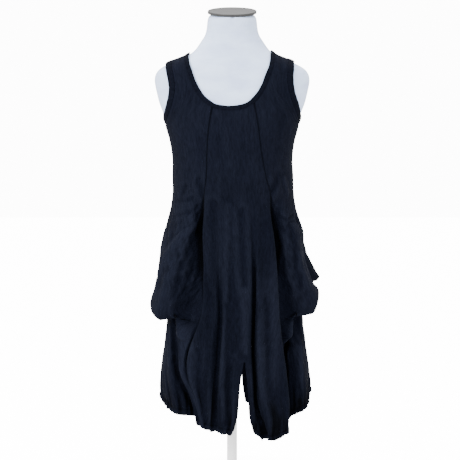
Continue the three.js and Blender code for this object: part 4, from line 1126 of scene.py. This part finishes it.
# Each panel's cut: its greatest width and length, and its area, in metres and square metres.
PANEL_CUTS = {
    "front_centre": (0.345, 0.795, 0.193),
    "front_side_left": (0.225, 1.065, 0.139),
    "front_side_right": (0.24, 1.055, 0.151),
    "back_centre": (0.295, 0.86, 0.172),
    "back_side_left": (0.22, 1.07, 0.139),
    "back_side_right": (0.205, 1.065, 0.131),
}

for name, cloth in cloths.items():
    points = shaped[name]
    corner, below, beside = points[20, 2], points[21, 2], points[20, 3]
    flip = np.dot(np.cross(below - corner, beside - corner), cloth.normals[20, 2]) < 0
    faces = grid_faces(cloth.u.shape, cloth.cells, flip)
    used, numbers = np.unique(faces, return_inverse=True)
    uv = np.stack((cloth.u, -cloth.v), axis=2).reshape(-1, 2)[used]
    vertices = points.reshape(-1, 3)[used]
    piece = mesh_piece(f"knit_{name}", vertices, numbers.reshape(faces.shape), uv, knit)
    shade, wear_and_highlight = shade_wear_and_highlight(name, cloth)
    carry(piece, "Shade", shade.ravel()[used])
    carry(piece, "Worn", wear_and_highlight.ravel()[used])
    thicken(piece, KNIT_THICKNESS)
    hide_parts(name)
    width, length, area = PANEL_CUTS[name]
    diagonals = [points[1:, 1:] - points[:-1, :-1], points[1:, :-1] - points[:-1, 1:]]
    spread = lengths(np.cross(*diagonals))[cloth.cells].sum() / 2
    print(name, "quads:", len(piece.data.polygons), "with creases:", round(float(spread), 4), "m2")

# %% [markdown]
# ## Bands at the neckline and the armholes
#
# A strip of double knit is stretched over each raw edge and stitched down. The CAD band is a
# ring of five-cornered sections. They are read back in order, a smooth curve is drawn through
# each corner's line, and each corner is rounded with three points.

# %% Read a ring of sections
CORNERS = 5
CHEST_MIDDLE = (0, 0, 1.1)
# How far each corner lies from the ring's middle and from the chest's, in the order wanted.
RING_SIDE = (1, 1, 0, -1, -1)
BODY_SIDE = (-1, 1, 1, 1, -1)


def ring_sections(node):
    """A band's points as [section, corner]."""
    points, triangles = merged_copy(node)
    index, at = lattice_places(triangles)
    count = len(index) // CORNERS
    rings = []
    for turn in range(3):
        for places in (at, at[:, ::-1]):
            spots = places % (count, CORNERS)
            if len(np.unique(spots, axis=0)) == len(index):
                order = np.empty((count, CORNERS), int)
                order[tuple(spots.T)] = index
                rings.append(points[order])
        at = at @ GRID_TURN.T
    return seam_first(min(rings, key=lambda ring: lengths(ring - np.roll(ring, 1, axis=1)).sum()))


def seam_first(sections):
    """The corners in order: seam inner and outer, crown, free outer and inner."""
    from_ring = lengths(sections - sections.mean(axis=(0, 1))).mean(axis=0)
    from_body = lengths(sections - CHEST_MIDDLE).mean(axis=0)

    def fitness(order):
        return from_ring[order] @ RING_SIDE + from_body[order] @ BODY_SIDE

    orders = [np.roll(np.arange(CORNERS)[::way], k) for way in (1, -1) for k in range(CORNERS)]
    return sections[:, max(orders, key=fitness)]


def closed_curve(values, parts):
    """A smooth closed curve through values, with this many places from one to the next."""
    before, after, beyond = (np.roll(values, -k, axis=0) for k in (-1, 1, 2))
    t = np.arange(parts)[None, :, None, None] / parts
    a, b, c, d = (x[:, None] for x in (before, values, after, beyond))
    curve = b + (c - a) * t / 2 + (2 * a - 5 * b + 4 * c - d) * t**2 / 2
    curve = curve + (3 * b - a - 3 * c + d) * t**3 / 2
    return curve.reshape(-1, *values.shape[1:])


# %% The rings of a band
BAND_ROUNDING = 0.8 * MM
SEAM_ROUNDING = 0.2  # of that, at the corners on the seam
BAND_LAP = 2 * MM  # how far a band covers the raw edge that it is stitched to
SEAM_SIDE = ((0, 4), (1, 3))  # a section's seam corners, each with the free corner opposite
PUCKER_LENGTH = 7 * MM
PUCKERS = 400


def band_rings(sections, pucker, seed):
    """The rounded, slightly puckered rings of a band, their middles and places round it."""
    for seam, free in SEAM_SIDE:
        sections[:, seam] += BAND_LAP * unit(sections[:, seam] - sections[:, free])
    rings = closed_curve(sections, 4 if len(sections) > 40 else 12)
    to_last, to_next = (np.roll(rings, k, axis=1) - rings for k in (1, -1))
    sizes = [lengths(side)[..., None] for side in (to_last, to_next)]
    rounding = np.where(np.arange(CORNERS) < 2, SEAM_ROUNDING, 1)[:, None] * BAND_ROUNDING
    cuts = [np.minimum(rounding, 0.4 * size) / size for size in sizes]
    early, late = rings + to_last * cuts[0], rings + to_next * cuts[1]
    tip = (early + late) / 4 + rings / 2
    rings = np.stack((early, tip, late), axis=2).reshape(len(rings), -1, 3)
    middle = rings.mean(axis=1, keepdims=True)
    around = travelled(np.append(middle[:, 0], middle[:1, 0], axis=0))
    heights = np.random.default_rng(seed).uniform(-1, 1, PUCKERS)
    swell = np.interp(around[:-1] / PUCKER_LENGTH, np.arange(PUCKERS), heights)[:, None, None]
    return rings + (rings - middle) * pucker * swell, middle, around


# %% Bands


def band(node, pucker, seed):
    """A band, with its place round the ring and across as its UV."""
    rings, middle, around = band_rings(ring_sections(node), pucker, seed)
    count, corners = rings.shape[:2]
    around_section = travelled(np.append(rings, rings[:, :1], axis=1), 1)
    numbers = np.arange(count * corners).reshape(count, corners)
    after, beside = np.roll(numbers, -1, axis=0), np.roll(numbers, -1, axis=1)
    faces = np.stack((numbers, after, np.roll(after, -1, axis=1), beside), axis=2).reshape(-1, 4)
    uv = np.stack((np.repeat(around[:-1, None], corners, axis=1), around_section[:, :-1]), axis=2)
    a, b, c, d = (rings.reshape(-1, 3)[faces[:, k]] for k in range(4))
    outside = (np.cross(c - a, d - b) * ((a + c) / 2 - middle[faces[:, 0] // corners, 0])).sum()
    faces = faces if outside > 0 else faces[:, ::-1]
    piece = mesh_piece(f"band_{node}", rings.reshape(-1, 3), faces, uv.reshape(-1, 2), binding)
    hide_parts(node)
    girth = float(around_section[:, -1].mean())
    print(node, "length:", round(float(around[-1]), 3), "m, round it:", round(girth, 4), "m")


# Node, how much it puckers, and seed.
band("neck_binding", 0.05, 11)
band("armhole_binding_left", 0.07, 12)
band("armhole_binding_right", 0.05, 13)

# %% [markdown]
# ## The form
#
# The form is a hard shell in a tight white jersey cover, so its surface only undulates a
# little. A copy of its CAD solid gets its squares back, and the Subdivision Surface modifier
# rounds it. The jersey's loops and faint pulls are in its material.

# %% Jersey
JERSEY_SHADE = (0.50, 0.61, 0.88)
JERSEY_WHITE = (0.62, 0.75, 1.0)

jersey_paint = Paint("White jersey", roughness=0.85, sheen=0.3)
solid = jersey_paint.place("Object")
pulls = jersey_paint.noise(solid, (18, 18, 42), 4.0, 0.55)
loops = jersey_paint.noise(solid, 900.0, 2.0, 0.6)
jersey_tone = pulls * 0.8 + loops * 0.2
jersey_colour = jersey_paint.ramp(jersey_tone, [(0.34, JERSEY_SHADE), (0.6, JERSEY_WHITE)])
jersey_paint.feed("Base Color", jersey_colour)
jersey_paint.bump(jersey_tone, 0.0022)
print("jersey nodes:", len(jersey_paint.tree.nodes))

# %% Covered form
points, triangles = merged_copy("form_torso")
form_mesh = bpy.data.meshes.new("covered_form")
form_mesh.from_pydata([tuple(p) for p in points], [], triangles)
form_mesh.materials.append(jersey_paint.material)
form = linked("covered_form", form_mesh)
only(form)
bpy.ops.object.mode_set(mode="EDIT")
bpy.ops.mesh.select_all(action="SELECT")
bpy.ops.mesh.tris_convert_to_quads()
bpy.ops.object.mode_set(mode="OBJECT")
rounding = form.modifiers.new("Rounding", "SUBSURF")
rounding.levels = rounding.render_levels = 2
bpy.ops.object.modifier_apply(modifier=rounding.name)
bpy.ops.object.shade_smooth()
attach(form, "root")
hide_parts("form_torso")
print("form quads:", len(form.data.polygons))

# %% [markdown]
# ## Neck plate and stand
#
# A turned disc caps the neck. The pole screws into a flange under the torso, and a round
# foot carries it. Each is a cylinder whose rims are bevelled, as turned metal is.

# %% Plate and stand materials
plate_paint = Paint("Grey plate", roughness=0.5)
plate_spots = spotted(plate_paint, 60.0, 4.0, 0.019, 0.024)
plate_paint.feed("Roughness", plate_spots * 0.2 + 0.42)

stand_paint = Paint("Satin white paint", roughness=0.35)
paint_skin = spotted(stand_paint, 240.0, 3.0, 0.93, 0.96)
stand_paint.feed("Roughness", paint_skin * 0.15 + 0.3)
stand_paint.bump(paint_skin, 0.0002)
print("plate and stand nodes:", len(plate_paint.tree.nodes), len(stand_paint.tree.nodes))

# %% Turned discs
DISC_SIDES = 72
RIM_SEGMENTS = 4
RIM_ANGLE = math.radians(50)  # a sharper edge than this is a rim
SMOOTH_ANGLE = math.radians(40)


def start_disc(name, radius, low, high):
    """A cylinder between two places, open for editing."""
    bpy.ops.object.select_all(action="DESELECT")
    size = {"vertices": DISC_SIDES, "radius": radius, "depth": (high - low).length}
    bpy.ops.mesh.primitive_cylinder_add(**size, location=(low + high) / 2)
    piece = bpy.context.object
    piece.name = name
    bpy.ops.object.mode_set(mode="EDIT")
    bpy.context.tool_settings.mesh_select_mode = (False, False, True)
    bpy.ops.mesh.select_all(action="DESELECT")
    return piece


def select_top(piece):
    """Selects the face that looks up and lies highest."""
    mesh = bmesh.from_edit_mesh(piece.data)
    top = max(mesh.faces, key=lambda face: face.calc_center_median().z)
    for face in mesh.faces:
        face.select_set(face is top)
    bmesh.update_edit_mesh(piece.data)


def finish_disc(piece, bevel, material, replaced):
    """Rounds every sharp rim, puts the piece's place in its mesh, and gives it its finish."""
    bpy.ops.object.mode_set(mode="OBJECT")
    bpy.ops.object.transform_apply(location=True, rotation=True, scale=True)
    rims = piece.modifiers.new("Rims", "BEVEL")
    rims.width = bevel
    rims.segments = RIM_SEGMENTS
    rims.limit_method = "ANGLE"
    rims.angle_limit = RIM_ANGLE
    bpy.ops.object.modifier_apply(modifier=rims.name)
    bpy.ops.object.shade_smooth_by_angle(angle=SMOOTH_ANGLE)
    piece.data.materials.clear()
    piece.data.materials.append(material)
    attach(piece, "root")
    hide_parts(replaced)
    print(piece.name, "faces:", len(piece.data.polygons))


# %% Neck plate
NECK_TILT = math.radians(12)
PLATE_THICKNESS = 6 * MM
PLATE_LIP = 7 * MM
PLATE_DISH = 0.8 * MM

plate_low, plate_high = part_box("neck_plate")
plate_middle = (plate_low + plate_high) / 2
plate_size = plate_high - plate_low
plate_reach = (plate_size.y - PLATE_THICKNESS * math.sin(NECK_TILT)) / math.cos(NECK_TILT)
half_plate = Vector((0, 0, PLATE_THICKNESS / 2))
plate = start_disc(
    "neck_cap", plate_size.x / 2, plate_middle - half_plate, plate_middle + half_plate
)
bpy.ops.mesh.select_all(action="SELECT")
bpy.ops.transform.resize(value=(1, plate_reach / plate_size.x, 1), center_override=plate_middle)
select_top(plate)
bpy.ops.mesh.inset(thickness=PLATE_LIP)
bpy.ops.transform.translate(value=(0, 0, -PLATE_DISH))
bpy.ops.object.mode_set(mode="OBJECT")
plate.rotation_euler.x = NECK_TILT
finish_disc(plate, 1.2 * MM, plate_paint.material, "neck_plate")

# %% Pole and foot
FLANGE_THICKNESS = 6 * MM
POLE_RADIUS = 12.5 * MM

pole_low, pole_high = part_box("stand_pole")
axis_low = Vector((0, 0, pole_low.z))
flange_low = Vector((0, 0, pole_high.z - FLANGE_THICKNESS))
pole = start_disc("pole_and_flange", POLE_RADIUS, axis_low, flange_low)
select_top(pole)
bpy.ops.mesh.extrude_region_move(TRANSFORM_OT_translate={"value": (0, 0, 0)})
flange_growth = pole_high.x / POLE_RADIUS
bpy.ops.transform.resize(value=(flange_growth, flange_growth, 1), center_override=flange_low)
bpy.ops.mesh.extrude_region_move(TRANSFORM_OT_translate={"value": (0, 0, FLANGE_THICKNESS)})
finish_disc(pole, 0.8 * MM, stand_paint.material, "stand_pole")

foot_low, foot_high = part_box("stand_base")
floor_level, foot_top = (Vector((0, 0, corner.z)) for corner in (foot_low, foot_high))
round_foot = start_disc("round_foot", foot_high.x, floor_level, foot_top)
finish_disc(round_foot, 2 * MM, stand_paint.material, "stand_base")

# %% [markdown]
# ## Sizes
#
# The finished pieces should fill the CAD model's box and hardly pass it.

# %% Sizes
visual_box = [list(corner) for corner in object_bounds()]
print("visual box:", [[round(x, 4) for x in corner] for corner in visual_box])
